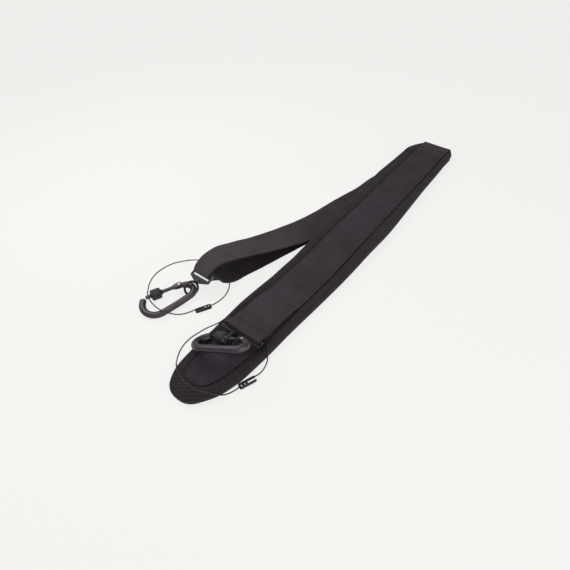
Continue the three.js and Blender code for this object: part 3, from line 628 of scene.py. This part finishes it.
def beyondCover(x, y):
    # distance outside the webbing and the lining panel, negative beneath them
    overWebbing = np.abs(y - np.interp(x, *padWebbingMiddle)) - webbing["width"] / 2
    right, left = (np.interp(x, panelOutline[:, 0], panelOutline[:, side]) for side in (1, 2))
    overPanel = np.maximum(np.maximum(right - y, y - left), panelOutline[0, 0] - x)
    fartherPanel = overPanel + padding["panelGap"] * (x > padding["panelTo"])
    return np.where(x > padding["webbingFrom"], np.minimum(overWebbing, fartherPanel), overPanel)


def shoulderPad():
    # Slabs along the outline. Open foam swells by bulge * (1 - exp(-d / reach)) at d from what is sewn on
    # it, in low lumps, and dips along that edge; all of it eases off towards the pad's ends.
    right, left, under, thick = padOutline.T[1:]
    y, rise, _ = slabSections(right, left, thick, slabTemplate(*padCells["around"]))
    x = np.broadcast_to(padOutline[:, :1], y.shape)
    middle = thick[:, None] / 2
    upper = np.clip((rise - middle) / np.maximum(middle, 1), 0, 1)
    away = beyondCover(x, y)
    swell = padding["bulge"] * (1 - np.exp(-np.clip(away, 0, None) / padding["reach"]))
    lumps = padding["lumps"] * (np.sin(x / 6.1 + 0.2 * y) + np.sin(x / 11 - 0.13 * y))
    lumps = lumps * np.clip(away / padding["lumpsReach"], 0, 1)
    dip = padding["dip"] * bell(away, padding["dipWidth"])
    ends = np.clip((x - padding["start"]) / padding["startEase"], 0, 1)
    ends = ends * np.clip((padding["end"] - x) / padding["endEase"], 0, 1)
    z = under[:, None] + rise + upper * ends * (swell + lumps - dip)
    shell = gridShell(np.stack([x, y, z], axis=2))
    pad = makePiece("meshPad", shell, meshMaterial, stands=["shoulder_pad"], crease=80)


# Webbing with rounded selvedges. Rows give the middle of the ribbon in the strap frame.
webbing = {"width": 46.0, "thickness": 1.6, "edge": 6}
eyeBar = {"radius": 2.5, "wrap": 3.6}
slider = {"near": 557.0, "centre": 569.0, "far": 582.0, "y": -5.0, "z": 4.4, "wrap": 3.32, "tuck": 4.0,
          "length": 28.5, "width": 58.0, "inner": 50.0, "bar": 3.5, "thickness": 2.6}
eyes = {
    "adjuster": {"origin": (128, 93.4, 18.4), "apex": (-0.92, 0.054, -0.389),
                 "across": (0.23, 0.876, -0.424)},
    "pad": {"origin": (93, -3.5, 15.8), "apex": (-0.891, 0, 0.454), "across": (0, 1, 0)},
}
panelRows = [(18, 1.6, 2.4), (18.3, -5, 9), (22, -11, 14.5), (32, -16.5, 18), (50, -21, 20), (80, -24.5, 21),
             (130, -25.5, 22)]
panelOutline = smoothRows(panelRows, 1.5)

lowerTail = [(523, -3.5, 3.1), (534, -4.2, 3.1), (542, -4.7, 4.1), (550, -5, 6.7)]
lowerSlider = [(547, -4.6, 1.1), (530, -2.5, 1.1), (510, 3.5, 1.1), (488, 12, 1.1)]
upperSlider = [(488, 12, 3.1), (505, 5.2, 3.4), (515, 1.4, 4.6), (525, -2, 5.2), (535, -3.8, 5.4),
               (543, -4.8, 6.8), (550, -5, 9.2), (555, -5, 9.6), (561, -5, 9.6), (565, -5, 8.9)]
# left edge, then right edge, of the free stretches
lowerEdges = [
    (463.4, 44.4, 1.1, 456, -1.5, 1.1), (415, 50, 1.1, 407.5, 4.1, 1.1), (367.9, 59.9, 1.1, 359, 14.3, 1.1),
    (318.7, 68.5, 1.1, 308, 23.2, 1.1), (280.5, 79.6, 1.1, 268.6, 34.6, 1.1),
    (242.4, 89.8, 1.1, 230.5, 44.8, 1.1), (206.7, 99.1, 1.1, 194.8, 54.1, 1.1), (174, 107, 1.4, 161, 63, 2.6),
    (157, 108, 2.6, 141, 62.5, 9.2), (143, 112, 2.2, 129.5, 69, 18)]
upperEdges = [
    (144, 116.8, 16.2, 131.5, 75.2, 33.8), (167, 113.5, 20, 149, 73, 32.5), (192.3, 105, 17, 171, 65.5, 28.5),
    (222.6, 92.2, 13.4, 200.5, 52, 23), (249, 84.8, 9.5, 232, 41.4, 16), (275.8, 78.4, 5.6, 262, 34.8, 7.4),
    (296, 73, 4.2, 282.5, 29.4, 4), (318.7, 67.7, 3.6, 305.5, 23.6, 3.4), (367.9, 59.9, 3.1, 359, 14.3, 3.1),
    (415, 50, 3.1, 407.5, 4.1, 3.1), (463.4, 44.4, 3.1, 456, -1.5, 3.1)]
padTuck = [(587.5, -5, 7.7)]
padReturn = [(150, -3.2, 11.2), (134, -2.5, 12), (112, -2.1, 12.15), (100, -2.8, 12.15)]
padRun = [
    (101, -2.8, 17.9), (108, -2.2, 15.9), (116, -2, 14.5), (132, -2.4, 14.1), (150, -3.2, 13.2),
    (161, -3.8, 11), (190, -5, 10.8), (230, -6.2, 12), (265, -6.7, 14.5), (283, -6.7, 15.8),
    (300, -6.5, 15.8), (340, -5.6, 15.4), (400, -4.6, 14.9), (470, -3.9, 14.9), (504, -3.7, 15.5),
    (525, -3.6, 16.5), (540, -3.5, 17.1), (548, -3.4, 18.2), (565, -3.4, 18.1), (577, -3.4, 17.1),
    (587, -3.4, 16.1), (593, -3.6, 14.4), (595.2, -4, 10.8), (594.8, -4.5, 6.5), (591, -5, 2.8),
    (586, -5, 1.2)]
padWebbingMiddle = np.array(padRun)[:20, :2].T  # its middle line on the pad's top, up to x 577


def squareRows(points):
    # rows whose width lies straight across the pad
    points = np.array(points, float)
    return np.concatenate([points, np.tile([0, 1.0, 0], (len(points), 1))], axis=1)


def edgeRows(table):
    # rows from both edges: their middle, and the unit direction from right to left
    left, right = np.split(np.array(table, float), 2, axis=1)
    return np.concatenate([(left + right) / 2, unit(left - right)], axis=1)


def wrapRows(centre, upward, ahead, across, radius, start, end, count=9):
    # rows round a bar: centre + r (cos a upward + sin a ahead)
    angle = np.radians(np.linspace(start, end, count))[:, None]
    points = centre + radius * (np.cos(angle) * np.array(upward) + np.sin(angle) * np.array(ahead))
    return np.concatenate([points, np.tile(across, (count, 1))], axis=1)


def barRows(bar, start, end):
    # rows round one of the slider's bars, from straight up over its far side
    centre = (slider[bar], slider["y"], slider["z"])
    return wrapRows(centre, (0, 0, 1), (1, 0, 0), (0, 1, 0), slider["wrap"], start, end)


def eyeAxes(name):
    # unit directions of an eye: across its webbing, towards its ring, and out of its plate
    across = unit(eyes[name]["across"])
    apex = unit(eyes[name]["apex"] - across * np.dot(across, eyes[name]["apex"]))
    return across, apex, np.cross(across, apex)


def makeRibbon(rows, step):
    # Smooth rows with their path's tangent, the width square to it, and the normal tangent x width.
    rows = smoothRows(rows, step)
    centres = rows[:, :3]
    tangents = unit(np.gradient(centres, axis=0))
    across = unit(rows[:, 3:])
    across = unit(across - tangents * np.sum(across * tangents, axis=1, keepdims=True))
    return {"centres": centres, "across": across, "normals": np.cross(tangents, across), "tangents": tangents,
            "along": lengthAlong(centres)}


def onRibbon(ribbon, along, side, lift):
    # centre + side * width direction + lift * normal, with tangent and normal, at lengths along the ribbon
    centre, across, normal, tangent = (
        np.stack([np.interp(along, ribbon["along"], column) for column in ribbon[key].T], axis=1)
        for key in ("centres", "across", "normals", "tangents"))
    return centre + side[:, None] * across + lift[:, None] * normal, tangent, normal


def ribbonShell(ribbon, relief, top, bottom):
    # A slab section along the ribbon; relief(along, side) lifts both faces along the normal.
    template = slabTemplate(top, bottom, webbing["edge"])
    radius = webbing["thickness"] / 2
    side = template[:, 0] * (webbing["width"] / 2 - radius) + template[:, 1] * radius
    lift = template[:, 2] * radius + relief(ribbon["along"][:, None], side[None])
    grid = (ribbon["centres"][:, None] + side[None, :, None] * ribbon["across"][:, None]
            + lift[..., None] * ribbon["normals"][:, None])
    return gridShell(grid)


def shortWaves(along, side, seed):
    # Slow cross ripples: the sum of three sines whose phase drifts over the width, between about -1 and 1.
    return (0.45 * np.sin(along / 4.1 + 0.05 * side + seed)
            + 0.4 * np.sin(along / 6.7 - 0.09 * side + 2 * seed)
            + 0.4 * np.sin(along / 13 + 0.11 * side + 3 * seed))


# Adjustable webbing: from its end over the slider's near bar, out, round the eye's bar and back again.
adjusterRelief = {"ripple": 0.16, "seed": 0.7, "step": 2.0, "cells": 26}


def adjusterRibbon():
    # the whole path, in the order that the webbing is threaded
    across, apex, normal = eyeAxes("adjuster")
    end = (slider["centre"] - slider["tuck"], slider["y"], slider["z"] - slider["wrap"])
    return makeRibbon(np.concatenate([
        squareRows(lowerTail), barRows("near", 0, 180), squareRows(lowerSlider), edgeRows(lowerEdges),
        wrapRows(eyes["adjuster"]["origin"], normal, apex, across, eyeBar["wrap"], 145, 0, 7),
        edgeRows(upperEdges), squareRows(upperSlider), barRows("centre", 0, 180), squareRows([end])]),
        adjusterRelief["step"])


def adjusterWebbing():
    # a slab along the path, with faint cross ripples
    cells, height, seed = (adjusterRelief[key] for key in ("cells", "ripple", "seed"))
    shell = ribbonShell(adjusterRibbon(), lambda along, side: height * shortWaves(along, side, seed),
                        cells, cells)
    makePiece("adjusterWebbing", shell, webbingMaterial, stands=["adjuster_webbing"],
              crease=80)


# Pad webbing: folded round its eye, closed with a seam and a stitched arrow, sewn down along both edges.
padSeams = {"start": 106.0, "apex": 128.5, "half": 19.0, "edge": 20.6, "sink": 0.6, "width": 0.9,
            "valley": 1.5, "valleyWidth": 2.6, "hem": 568.0, "hemSink": 0.84, "last": 590.0}
padRipples = {"height": 0.55, "seed": 1.9, "rise": 0.25, "start": 145.0, "startEase": 25.0, "hemEase": 12.0}
padWeave = {"step": 1.0, "top": 44, "bottom": 8}


def padRibbon():
    # from under the eye, round its bar, along the pad and over its end to the slider's far bar
    fold = wrapRows(eyes["pad"]["origin"], (0, 0, 1), (1, 0, 0), (0, 1, 0), eyeBar["wrap"], 180, 360)
    rows = [squareRows(padReturn), fold, squareRows(padRun), barRows("far", 180, 360), squareRows(padTuck)]
    return makeRibbon(np.concatenate(rows), padWeave["step"])


def lengthAt(ribbon, x):
    # length along the ribbon where its upper run, from the fold at the eye to the far end, passes x
    path = ribbon["centres"][:, 0]
    run = slice(np.argmin(path), np.argmax(path) + 1)
    return np.interp(x, path[run], ribbon["along"][run])


def padRelief(ribbon):
    # Seams are grooves, -sink * bell: two edges, the arrow and the hem, with a broad valley at the first
    # seam. Between them the cloth swells in ripples, flat again at its edges: 1 - (side / edge)^4.
    start, apex, hem, last = (lengthAt(ribbon, padSeams[key]) for key in ("start", "apex", "hem", "last"))
    ripplesStart = lengthAt(ribbon, padRipples["start"])
    sink, width, slope = padSeams["sink"], padSeams["width"], padSeams["half"] / (apex - start)

    def relief(along, side):
        # lift of the cloth at a length and a side of the ribbon
        away = np.abs(side)
        offset = (away - slope * (apex - along)) / np.hypot(1, slope)
        edges = sink * bell(away - padSeams["edge"], width) * ((along > start) & (along < last))
        arrow = sink * bell(offset, width) * ((along > start) & (along < apex + 1))
        seams = padSeams["valley"] * bell(along - start, padSeams["valleyWidth"])
        seams = seams + padSeams["hemSink"] * bell(along - hem, width)
        fade = np.clip((along - ripplesStart) / padRipples["startEase"], 0, 1)
        fade = fade * np.clip((hem - along) / padRipples["hemEase"], 0, 1)
        taut = np.clip(1 - (away / padSeams["edge"]) ** 4, 0, 1)
        swell = padRipples["height"] * shortWaves(along, side, padRipples["seed"]) + padRipples["rise"]
        return fade * taut * swell - edges - arrow - seams

    return relief


def padWebbing():
    # a slab along the path, sunk at its seams
    ribbon = padRibbon()
    shell = ribbonShell(ribbon, padRelief(ribbon), padWeave["top"], padWeave["bottom"])
    makePiece("padWebbing", shell, webbingMaterial, stands=["pad_webbing"], crease=80)
    return ribbon


# Lining panel on the tongue: a thin crowned pocket of cloth, sewn down near its rim. It lies flat, at the
# height of the pad's top where x is the panel's level.
panel = {"level": 44.0, "lift": 0.3, "thickness": 1.2, "crown": 0.5, "crownReach": 5.0, "seam": 2.6,
         "seamDepth": 0.55, "seamWidth": 1.0, "pucker": 0.22, "puckerPitch": 5.0, "puckerFrom": 4.2,
         "puckerWidth": 2.2, "soft": 0.25, "softReach": 8.0, "stitchesTo": 104.0,
         "around": (36, 12, 6)}
panelBase = np.interp(panel["level"], padOutline[:, 0], padOutline[:, 3:].sum(axis=1)) + panel["lift"]


def tonguePanel():
    # Slabs across the outline. At d inside the rim the top rises by crown * (1 - exp(-d / reach)), is drawn
    # down at the seam, puckers beside it in a sine along the slanted rim, and is a little wavy within.
    right, left = panelOutline.T[1:]
    template = slabTemplate(*panel["around"])
    y, rise, half = slabSections(right, left, panel["thickness"], template)
    x = np.broadcast_to(panelOutline[:, :1], y.shape)
    inside = np.minimum(half - np.abs(y - (left + right)[:, None] / 2), x - x[0])
    crown = panel["crown"] * (1 - np.exp(-np.clip(inside, 0, None) / panel["crownReach"]))
    seam = panel["seamDepth"] * bell(inside - panel["seam"], panel["seamWidth"])
    pucker = panel["pucker"] * bell(inside - panel["puckerFrom"], panel["puckerWidth"])
    pucker = pucker * np.sin((x + 0.8 * y) * 2 * np.pi / panel["puckerPitch"])
    soft = panel["soft"] * np.sin(x / 7 + 0.12 * y) * np.clip(inside / panel["softReach"], 0, 1)
    z = panelBase + rise + (crown - seam + soft + pucker) * (template[:, 2] > 0.5)
    piece = makePiece("tongueLining", gridShell(np.stack([x, y, z], axis=2)), liningMaterial,
                      stands=["tongue_panel"], crease=80)


shoulderPad()
adjusterWebbing()
padStrap = padWebbing()
tonguePanel()
print("soft goods made")

# Stitches: short thread capsules, their middle arched over the cloth and their ends sunk into it.
stitch = {"length": 2.5, "pitch": 3.3, "radius": 0.27, "arch": 0.26, "sink": 0.12}


def stitchShell():
    # Rings along x: radius r sqrt(1 - t^6), at height arch (1 - t^2) - sink, for t from -1 to 1.
    t = np.linspace(-0.98, 0.98, 7)
    radius = stitch["radius"] * np.sqrt(1 - t**6)
    return straightShell(t * stitch["length"] / 2, oval(radius, radius, 6),
                         stitch["arch"] * (1 - t**2) - stitch["sink"])


def stitchLine(start, end):
    # places and headings of the stitches on a straight run between two (along, side) points
    start, end = np.array(start, float), np.array(end, float)
    length = np.linalg.norm(end - start)
    share = (np.arange(int(length / stitch["pitch"])) + 0.5) * stitch["pitch"] / length
    return start + share[:, None] * (end - start), np.tile((end - start) / length, (len(share), 1))


def webbingStitches(ribbon):
    # Lines on the ribbon in (along, side): both edges, the near seam, its arrow and the far hem.
    start, apex, hem = (lengthAt(ribbon, padSeams[key]) for key in ("start", "apex", "hem"))
    half, edge = padSeams["half"], padSeams["edge"]
    ends = [((start, edge), (hem, edge)), ((start, -edge), (hem, -edge)), ((start, half), (start, -half)),
            ((start, half), (apex, 0)), ((start, -half), (apex, 0)), ((hem, half), (hem, -half))]
    places, headings = (np.concatenate(part) for part in zip(*[stitchLine(*pair) for pair in ends]))
    along, side = places.T
    lift = webbing["thickness"] / 2 + padRelief(ribbon)(along, side)
    points, tangents, normals = onRibbon(ribbon, along, side, lift)
    directions = headings[:, :1] * tangents + headings[:, 1:] * np.cross(normals, tangents)
    shell = repeatShell(stitchShell(), points, directions, normals)
    makePiece("webbingStitches", shell, threadMaterial)


def panelStitches():
    # One line round the lining: its rim moved inwards by the seam's distance, (x, y) + seam * (dy, -dx).
    x, right, left = panelOutline.T
    ring = np.concatenate([np.stack([x, right], axis=1)[::-1], np.stack([x, left], axis=1)])
    ring = ring[ring[:, 0] < panel["stitchesTo"]]
    ring = ring + panel["seam"] * unit(np.gradient(ring, axis=0))[:, ::-1] * np.array([1, -1])
    along = lengthAlong(ring)
    spots = np.arange(2, along[-1] - 2, stitch["pitch"])
    top = 0 * spots + panelBase + panel["thickness"]
    start, end = (np.stack([*(np.interp(spots + step, along, axis) for axis in ring.T), top], axis=1)
                  for step in (0, 0.5))
    shell = repeatShell(stitchShell(), start, end - start, [0, 0, 1.0])
    makePiece("liningStitches", shell, threadMaterial)


webbingStitches(padStrap)
panelStitches()

# Snap hooks. Local u runs along the back rod, v towards the gate, w out of the hook's plane.
rod = {"radius": 4.0, "sides": 36, "step": 0.8}
hookBend = {"u": 0.5, "v": 16.3, "radius": 16.3, "from": 140, "to": 270, "points": 24}
topBend = {"u": 36.5, "v": 9.2, "radius": 9.2, "from": -90, "to": 65, "points": 18}
neck = {"start": 4.0, "length": 7.0, "flatFrom": 1.35, "flatLength": 1.6, "trim": 0.2}
nose = {"u": -8.3, "v": 31.2, "dome": 2.4, "slot": 3.2,
        "slotCorners": [(36.2, -6), (45.6, -6), (45.6, 4.6), (36.2, 4.6)]}
hinge = {"u": 35.3, "v": 21.3, "tongue": 2.4, "reach": 3.2, "pin": 1.1, "play": 0.05, "sides": 28,
         "head": [(0.01, 0.62), (0.7, 0.58), (1.3, 0.44), (1.9, 0.12), (1.9, 0.0)]}
ear = {"u": 0, "v": 0, "radius": 3.1, "from": 70, "to": 290, "points": 18, "inner": 1.5, "outer": 3.1,
       "bevel": 0.35, "foot": [(5.4, -2.5), (5.8, -2.1), (5.8, 2.1), (5.4, 2.5)]}
gate = {"angle": 166.1, "collar": 3.5, "collarStart": 21.6, "collarEnd": 36.0, "chamfer": 0.3, "thread": 1.25,
        "threadDepth": 0.35, "threadStep": 0.18, "sides": 40,
        "stem": [(4.6, 0.02), (4.6, 2.0), (5.0, 2.2), (20.6, 2.2), (21.2, 2.7), (21.6, 3.1)],
        "tip": [(35.6, 3.2), (36.0, 2.6), (36.0, 0.02)],
        "root": (4.5, 8.2, 2.7, 3.05, 3.2), "blade": (35.0, 42.0, 2.3, 1.3, 5.0)}
nut = {"radius": 6.75, "bore": 3.8, "start": 23.1, "length": 12.2, "teeth": 30, "depth": 0.42,
       "knurlFrom": 1.3, "boreEnd": 0.3, "chamfer": [(0, 4.1), (0, 5.45), (0.5, 6.0), (1.1, 6.2)],
       "rings": 56, "columns": 180}
cosine, sine = np.cos(np.radians(gate["angle"])), np.sin(np.radians(gate["angle"]))
gateAxes = np.array([[cosine, sine], [-sine, cosine]])  # the gate's x and y, each in the hook's u and v


def gatePlacer(suffix):
    # gate frame: origin on the hinge, x towards the nose, z along the hinge's axis
    turn, slide = joints[f"gate_{suffix}_hinge"], joints[f"nut_{suffix}_slide"]
    return placer(turn["pos_m"], -np.array(slide["axis"]), turn["axis"])


def hookPlacer(suffix):
    # hook frame: moved from its own origin to the hinge, then turned onto the gate's axes
    toGate = gatePlacer(suffix)

    def place(points):
        # (u, v, w) from the hinge, onto the gate's x and y, then into the row
        points = np.asarray(points, float) - [hinge["u"], hinge["v"], 0]
        return toGate(np.concatenate([points[..., :2] @ gateAxes.T, points[..., 2:]], axis=-1))

    return place


def arcPoints(bend):
    # centre + radius (cos a, sin a)
    angle = np.radians(np.linspace(bend["from"], bend["to"], bend["points"]))
    return bend["radius"] * np.stack([np.cos(angle), np.sin(angle)], axis=1) + [bend["u"], bend["v"]]


def hookBody(suffix):
    # A round rod along two bends. Its nose closes as a dome, r sqrt(1 - (1 - d)^2), and is slotted for the
    # blade. Its neck thins by a smooth step, 3 t^2 - 2 t^3, and flattens to the hinge's round tongue. Both
    # ends keep a small section for their caps.
    hook, top = arcPoints(hookBend), arcPoints(topBend)
    hingeAt, reach = np.array([hinge["u"], hinge["v"]]), hinge["reach"]
    ending = [(top[-1] + hingeAt) / 2, hingeAt, hingeAt + unit(hingeAt - top[-1]) * reach]
    path = smoothRows(np.concatenate([[(nose["u"], nose["v"])], hook, top, ending]), rod["step"])
    along = lengthAlong(path)
    toEnd = along[-1] - along
    dome = np.clip(along / nose["dome"], 0.03, 1)
    radius = rod["radius"] * np.sqrt(1 - (1 - dome) ** 2)
    thin = np.clip((toEnd - neck["start"]) / neck["length"], 0, 1)
    thin = thin * thin * (3 - 2 * thin)
    rounding = np.sqrt(np.clip(1 - (np.clip(reach - toEnd, 0, None) / reach) ** 2, 0.0025, 1))
    wide = (reach + (radius - reach) * thin) * rounding
    flatten = np.clip((toEnd - reach * neck["flatFrom"]) / neck["flatLength"], 0, 1)
    least, most = hinge["tongue"] / 2, reach - neck["trim"]
    high = least + (most + (radius - most) * thin - least) * flatten
    flat = np.zeros((len(path), 1))
    sideways = np.concatenate([unit(np.gradient(path, axis=0))[:, ::-1] * [-1, 1], flat], axis=1)
    section = oval(wide, high, rod["sides"])
    shell = sweepShell(np.concatenate([path, flat], axis=1), sideways, [0, 0, 1], section)
    place = hookPlacer(suffix)
    body = makePiece(f"hookBody_{suffix}", shell, hookMaterial, stands=[f"hook_body_{suffix}"],
                     place=place)
    corners = hingeAt + np.array(nose["slotCorners"]) @ gateAxes
    carve(body, [plateShell(corners, -nose["slot"] / 2, nose["slot"] / 2, 0.05, 1)], place)


def roundedBox(low, high, halfWidth, halfHeight, power, count=28, ends=0.5):
    # A superellipse section along x, drawn in by a quarter round at both ends.
    angle = np.linspace(0, np.pi / 2, 5)
    step, draw = ends * (1 - np.cos(angle)), ends * (1 - np.sin(angle))
    inset = np.concatenate([draw, draw[::-1]])
    return straightShell(np.concatenate([low + step, (high - step)[::-1]]),
                         oval(halfWidth - inset, halfHeight - inset, count, power))


def gateArm(suffix):
    # Fork of two ears, a turned shaft with a threaded collar, and a blade that enters the nose. The thread
    # is collar - depth * (1 - cos(2 pi x / pitch)) / 2. Root and blade are rounded boxes, given as their
    # lowest and highest x, half width, half height and power.
    turns = np.arange(gate["collarStart"] + gate["chamfer"], gate["collarEnd"] - 2 * gate["chamfer"],
                      gate["threadStep"])
    ridge = gate["collar"] - gate["threadDepth"] * (0.5 - 0.5 * np.cos(2 * np.pi * turns / gate["thread"]))
    shaft = gridShell(turned(gate["stem"] + list(zip(turns, ridge)) + gate["tip"], gate["sides"]))
    outline = np.concatenate([arcPoints(ear), ear["foot"]])
    ears = [plateShell(outline, low, high, ear["bevel"])
            for low, high in ((ear["inner"], ear["outer"]), (-ear["outer"], -ear["inner"]))]
    shell = joinShells(shaft, *ears, roundedBox(*gate["root"]), roundedBox(*gate["blade"]))
    makePiece(f"gateArm_{suffix}", shell, hookMaterial, f"gate_{suffix}",
              stands=[f"gate_{suffix}"], place=gatePlacer(suffix), crease=35)


def hingePin(suffix):
    # a rivet along z: two domed heads, given as (radius, lift), on a shank
    under = ear["outer"] + hinge["play"]
    profile = ([(-under - lift, radius) for radius, lift in hinge["head"]]
               + [(-under, hinge["pin"]), (under, hinge["pin"])]
               + [(under + lift, radius) for radius, lift in hinge["head"][::-1]])
    shell = reordered(gridShell(turned(profile, hinge["sides"])), [1, 2, 0])
    makePiece(f"hingeRivet_{suffix}", shell, steelMaterial, stands=[f"hinge_pin_{suffix}"],
              place=gatePlacer(suffix))


def lockNut(suffix):
    # Rings along x at radius R. Those at the full radius carry a diamond knurl, cut by
    # depth * (1 - |cos(n (a + x / R) / 2) cos(n (a - x / R) / 2)|), between chamfers of (x, radius).
    low, high, radius = nut["start"], nut["start"] + nut["length"], nut["radius"]
    chamfer, inset = np.array(nut["chamfer"]), nut["knurlFrom"]
    knurlX = np.linspace(low + inset, high - inset, nut["rings"])
    rings = [chamfer + [low, 0], np.stack([knurlX, 0 * knurlX + radius], axis=1),
             (chamfer * [-1, 1] + [high, 0])[::-1],
             [(high - nut["boreEnd"], nut["bore"]), (low + nut["boreEnd"], nut["bore"])]]
    x, base = np.concatenate(rings).T[..., None]
    angle = np.arange(nut["columns"]) / nut["columns"] * 2 * np.pi
    twist, teeth = x / radius, nut["teeth"] / 2
    tooth = np.abs(np.cos(teeth * (angle + twist)) * np.cos(teeth * (angle - twist)))
    r = base - nut["depth"] * (1 - tooth) * (base == radius)
    grid = np.stack([np.broadcast_to(x, r.shape), r * np.cos(angle), r * np.sin(angle)], axis=2)
    makePiece(f"lockNut_{suffix}", gridShell(np.concatenate([grid, grid[:1]]), caps=False), knurlMaterial,
              f"lock_nut_{suffix}", stands=[f"lock_nut_{suffix}"], place=gatePlacer(suffix),
              crease=50)


for suffix in ("adjuster", "pad"):
    hookBody(suffix)
    gateArm(suffix)
    hingePin(suffix)
    lockNut(suffix)
print("snap hooks made")

# Strap eyes, local x across the webbing, y towards the ring, z out of the plate.
eyePlate = {"outer": 26.25, "inner": 23.75, "foot": 1.2, "thickness": 2.6, "bevel": 0.55, "slotTop": 6.6,
            "shoulder": 9.5, "waistHalf": 15.0, "waistTop": 12.2, "apexHalf": 3.0, "apexTop": 14.9,
            "pinhole": 1.0, "pinholeAcross": 7.0, "pinholeTop": 11.4}
eyeRing = {"centre": 23.5, "radius": 8.3, "wire": 1.4, "steps": 72, "sides": 20}


def frameShell(outer, inner, thickness, bevel):
    # A flat frame between two outlines: its section is a slab with rounded corners, laid from inner to outer.
    width = np.linalg.norm(outer - inner, axis=1)
    quarter = np.linspace(0, np.pi / 2, 4)
    inset, level = bevel * (1 - np.sin(quarter)), thickness / 2 - bevel * (1 - np.cos(quarter))
    fromInner = np.concatenate([inset[::-1], -inset, -inset[::-1], inset])
    lift = np.concatenate([level[::-1], level, -level[::-1], -level])
    reach = np.repeat([0, 1, 1, 0], 4) + fromInner / width[:, None]
    flat = inner[:, None] + reach[..., None] * (outer - inner)[:, None]
    grid = np.concatenate([flat, np.broadcast_to(lift[None, :, None], flat.shape[:2] + (1,))], axis=2)
    return gridShell(np.concatenate([grid, grid[:1]]), caps=False)


def strapEye(suffix):
    # A plate from its own half outline mirrored, a round bar for the webbing, and a ring carried round a
    # circle; two small holes go through the plate.
    outer, inner, foot = eyePlate["outer"], eyePlate["inner"], eyePlate["foot"]
    waist, apex, slotTop = eyePlate["waistHalf"], eyePlate["apexHalf"], eyePlate["slotTop"]
    side = [(outer, -foot), (outer, eyePlate["shoulder"]), (waist, eyePlate["waistTop"]),
            (apex, eyePlate["apexTop"])]
    hole = [(inner, foot), (inner, slotTop), (waist, slotTop), (apex, slotTop)]
    rim, slot = (roundedLoop(half + [(-x, y) for x, y in half[::-1]], 18, rounds)
                 for half, rounds in ((side, 2), (hole, 1)))
    plate = frameShell(rim, slot, eyePlate["thickness"], eyePlate["bevel"])
    bar = roundedBox(-outer, outer, eyeBar["radius"], eyeBar["radius"], 2.0, 32, 0.7)
    angle = np.arange(eyeRing["steps"]) / eyeRing["steps"] * 2 * np.pi
    circle = np.stack([0 * angle, np.cos(angle), np.sin(angle)], axis=1)
    ring = sweepShell(circle * eyeRing["radius"] + [0, eyeRing["centre"], 0], circle, [1, 0, 0],
                      oval(eyeRing["wire"], eyeRing["wire"], eyeRing["sides"]), closedPath=True)
    across, _, normal = eyeAxes(suffix)
    place = placer(toRow(eyes[suffix]["origin"]), across, normal)
    eye = makePiece(f"strapEye_{suffix}", joinShells(plate, bar, ring), hardwareMaterial,
                    stands=[f"strap_eye_{suffix}"], place=place)
    tube = gridShell(turned([(-3, eyePlate["pinhole"]), (3, eyePlate["pinhole"])], 20))
    holes = [reordered(tube, [1, 2, 0], (way * eyePlate["pinholeAcross"], eyePlate["pinholeTop"], 0))
             for way in (-1, 1)]
    carve(eye, holes, place)


def webSlider():
    # A frame between two rounded rectangles, with a round-edged bar across its middle.
    def rectangle(x, y, each, smoothing):
        # a rounded loop with the corners (x, y) and its mirror images
        return roundedLoop([(-x, -y), (x, -y), (x, y), (-x, y)], each, smoothing)

    half, middle = slider["inner"] / 2, (slider["near"] + slider["far"]) / 2
    outer = rectangle(slider["length"] / 2, slider["width"] / 2, 22, 8)
    inner = rectangle((slider["far"] - slider["near"]) / 2 - slider["bar"] / 2, half, 22, 2)
    bar = roundedBox(-half - 1, half + 1, slider["bar"] / 2, slider["thickness"] / 2, 3.0, 24, 0.3)
    bar["points"] = bar["points"][:, [1, 0, 2]] * [1, 1, -1] + [slider["centre"] - middle, 0, 0]
    shell = joinShells(frameShell(outer, inner, slider["thickness"], 0.6), bar)
    shell = reordered(shell, [0, 1, 2], (middle, slider["y"], slider["z"]))
    makePiece("webSlider", shell, hardwareMaterial, stands=["slider"])


for suffix in ("adjuster", "pad"):
    strapEye(suffix)
webSlider()
print("hardware made")

# Studio: a pale sweep of floor, a bright even surround and three large soft lights. Sizes are in metres.
studio = {"floor": "5c5b59", "floorHalf": 6.0, "glow": 0.8, "glowTone": "fffefc", "surround": "ffffff",
          "strength": 0.45}
lights = [
    {"name": "keySoftbox", "place": (150, 330, 480), "aim": (120, 30, 0), "size": 0.6, "power": 2.2},
    {"name": "lowSoftbox", "place": (60, -760, 290), "aim": (190, 60, 10), "size": 0.7, "power": 3.2},
    {"name": "fillSoftbox", "place": (-400, -350, 700), "aim": (200, 0, 0), "size": 0.6, "power": 0.8},
]


def makeStudio():
    # a square floor with an even glow of its own, the surround, and the lights at their places
    mesh = bpy.data.meshes.new("floor")
    corners = studio["floorHalf"] * np.array([(-1, -1, 0), (1, -1, 0), (1, 1, 0), (-1, 1, 0)])
    mesh.from_pydata(corners.tolist(), [], [(0, 1, 2, 3)])
    material = startMaterial("litPaperSweep", Base_Color=colour(studio["floor"]), Roughness=0.9,
                             Specular_IOR_Level=0.2, Emission_Strength=studio["glow"],
                             Emission_Color=colour(studio["glowTone"]))[0]
    mesh.materials.append(material)
    addObject("floor", mesh)
    world = bpy.data.worlds.new("surround")
    world.use_nodes = True
    background = world.node_tree.nodes["Background"]
    background.inputs["Color"].default_value = colour(studio["surround"])
    background.inputs["Strength"].default_value = studio["strength"]
    bpy.context.scene.world = world
    for light in lights:
        data = bpy.data.lights.new(light["name"], "AREA")
        data.size, data.energy = light["size"], light["power"]
        lookAt(addObject(light["name"], data), light["place"], light["aim"])
    bpy.context.scene.view_settings.view_transform = "Standard"


makeStudio()
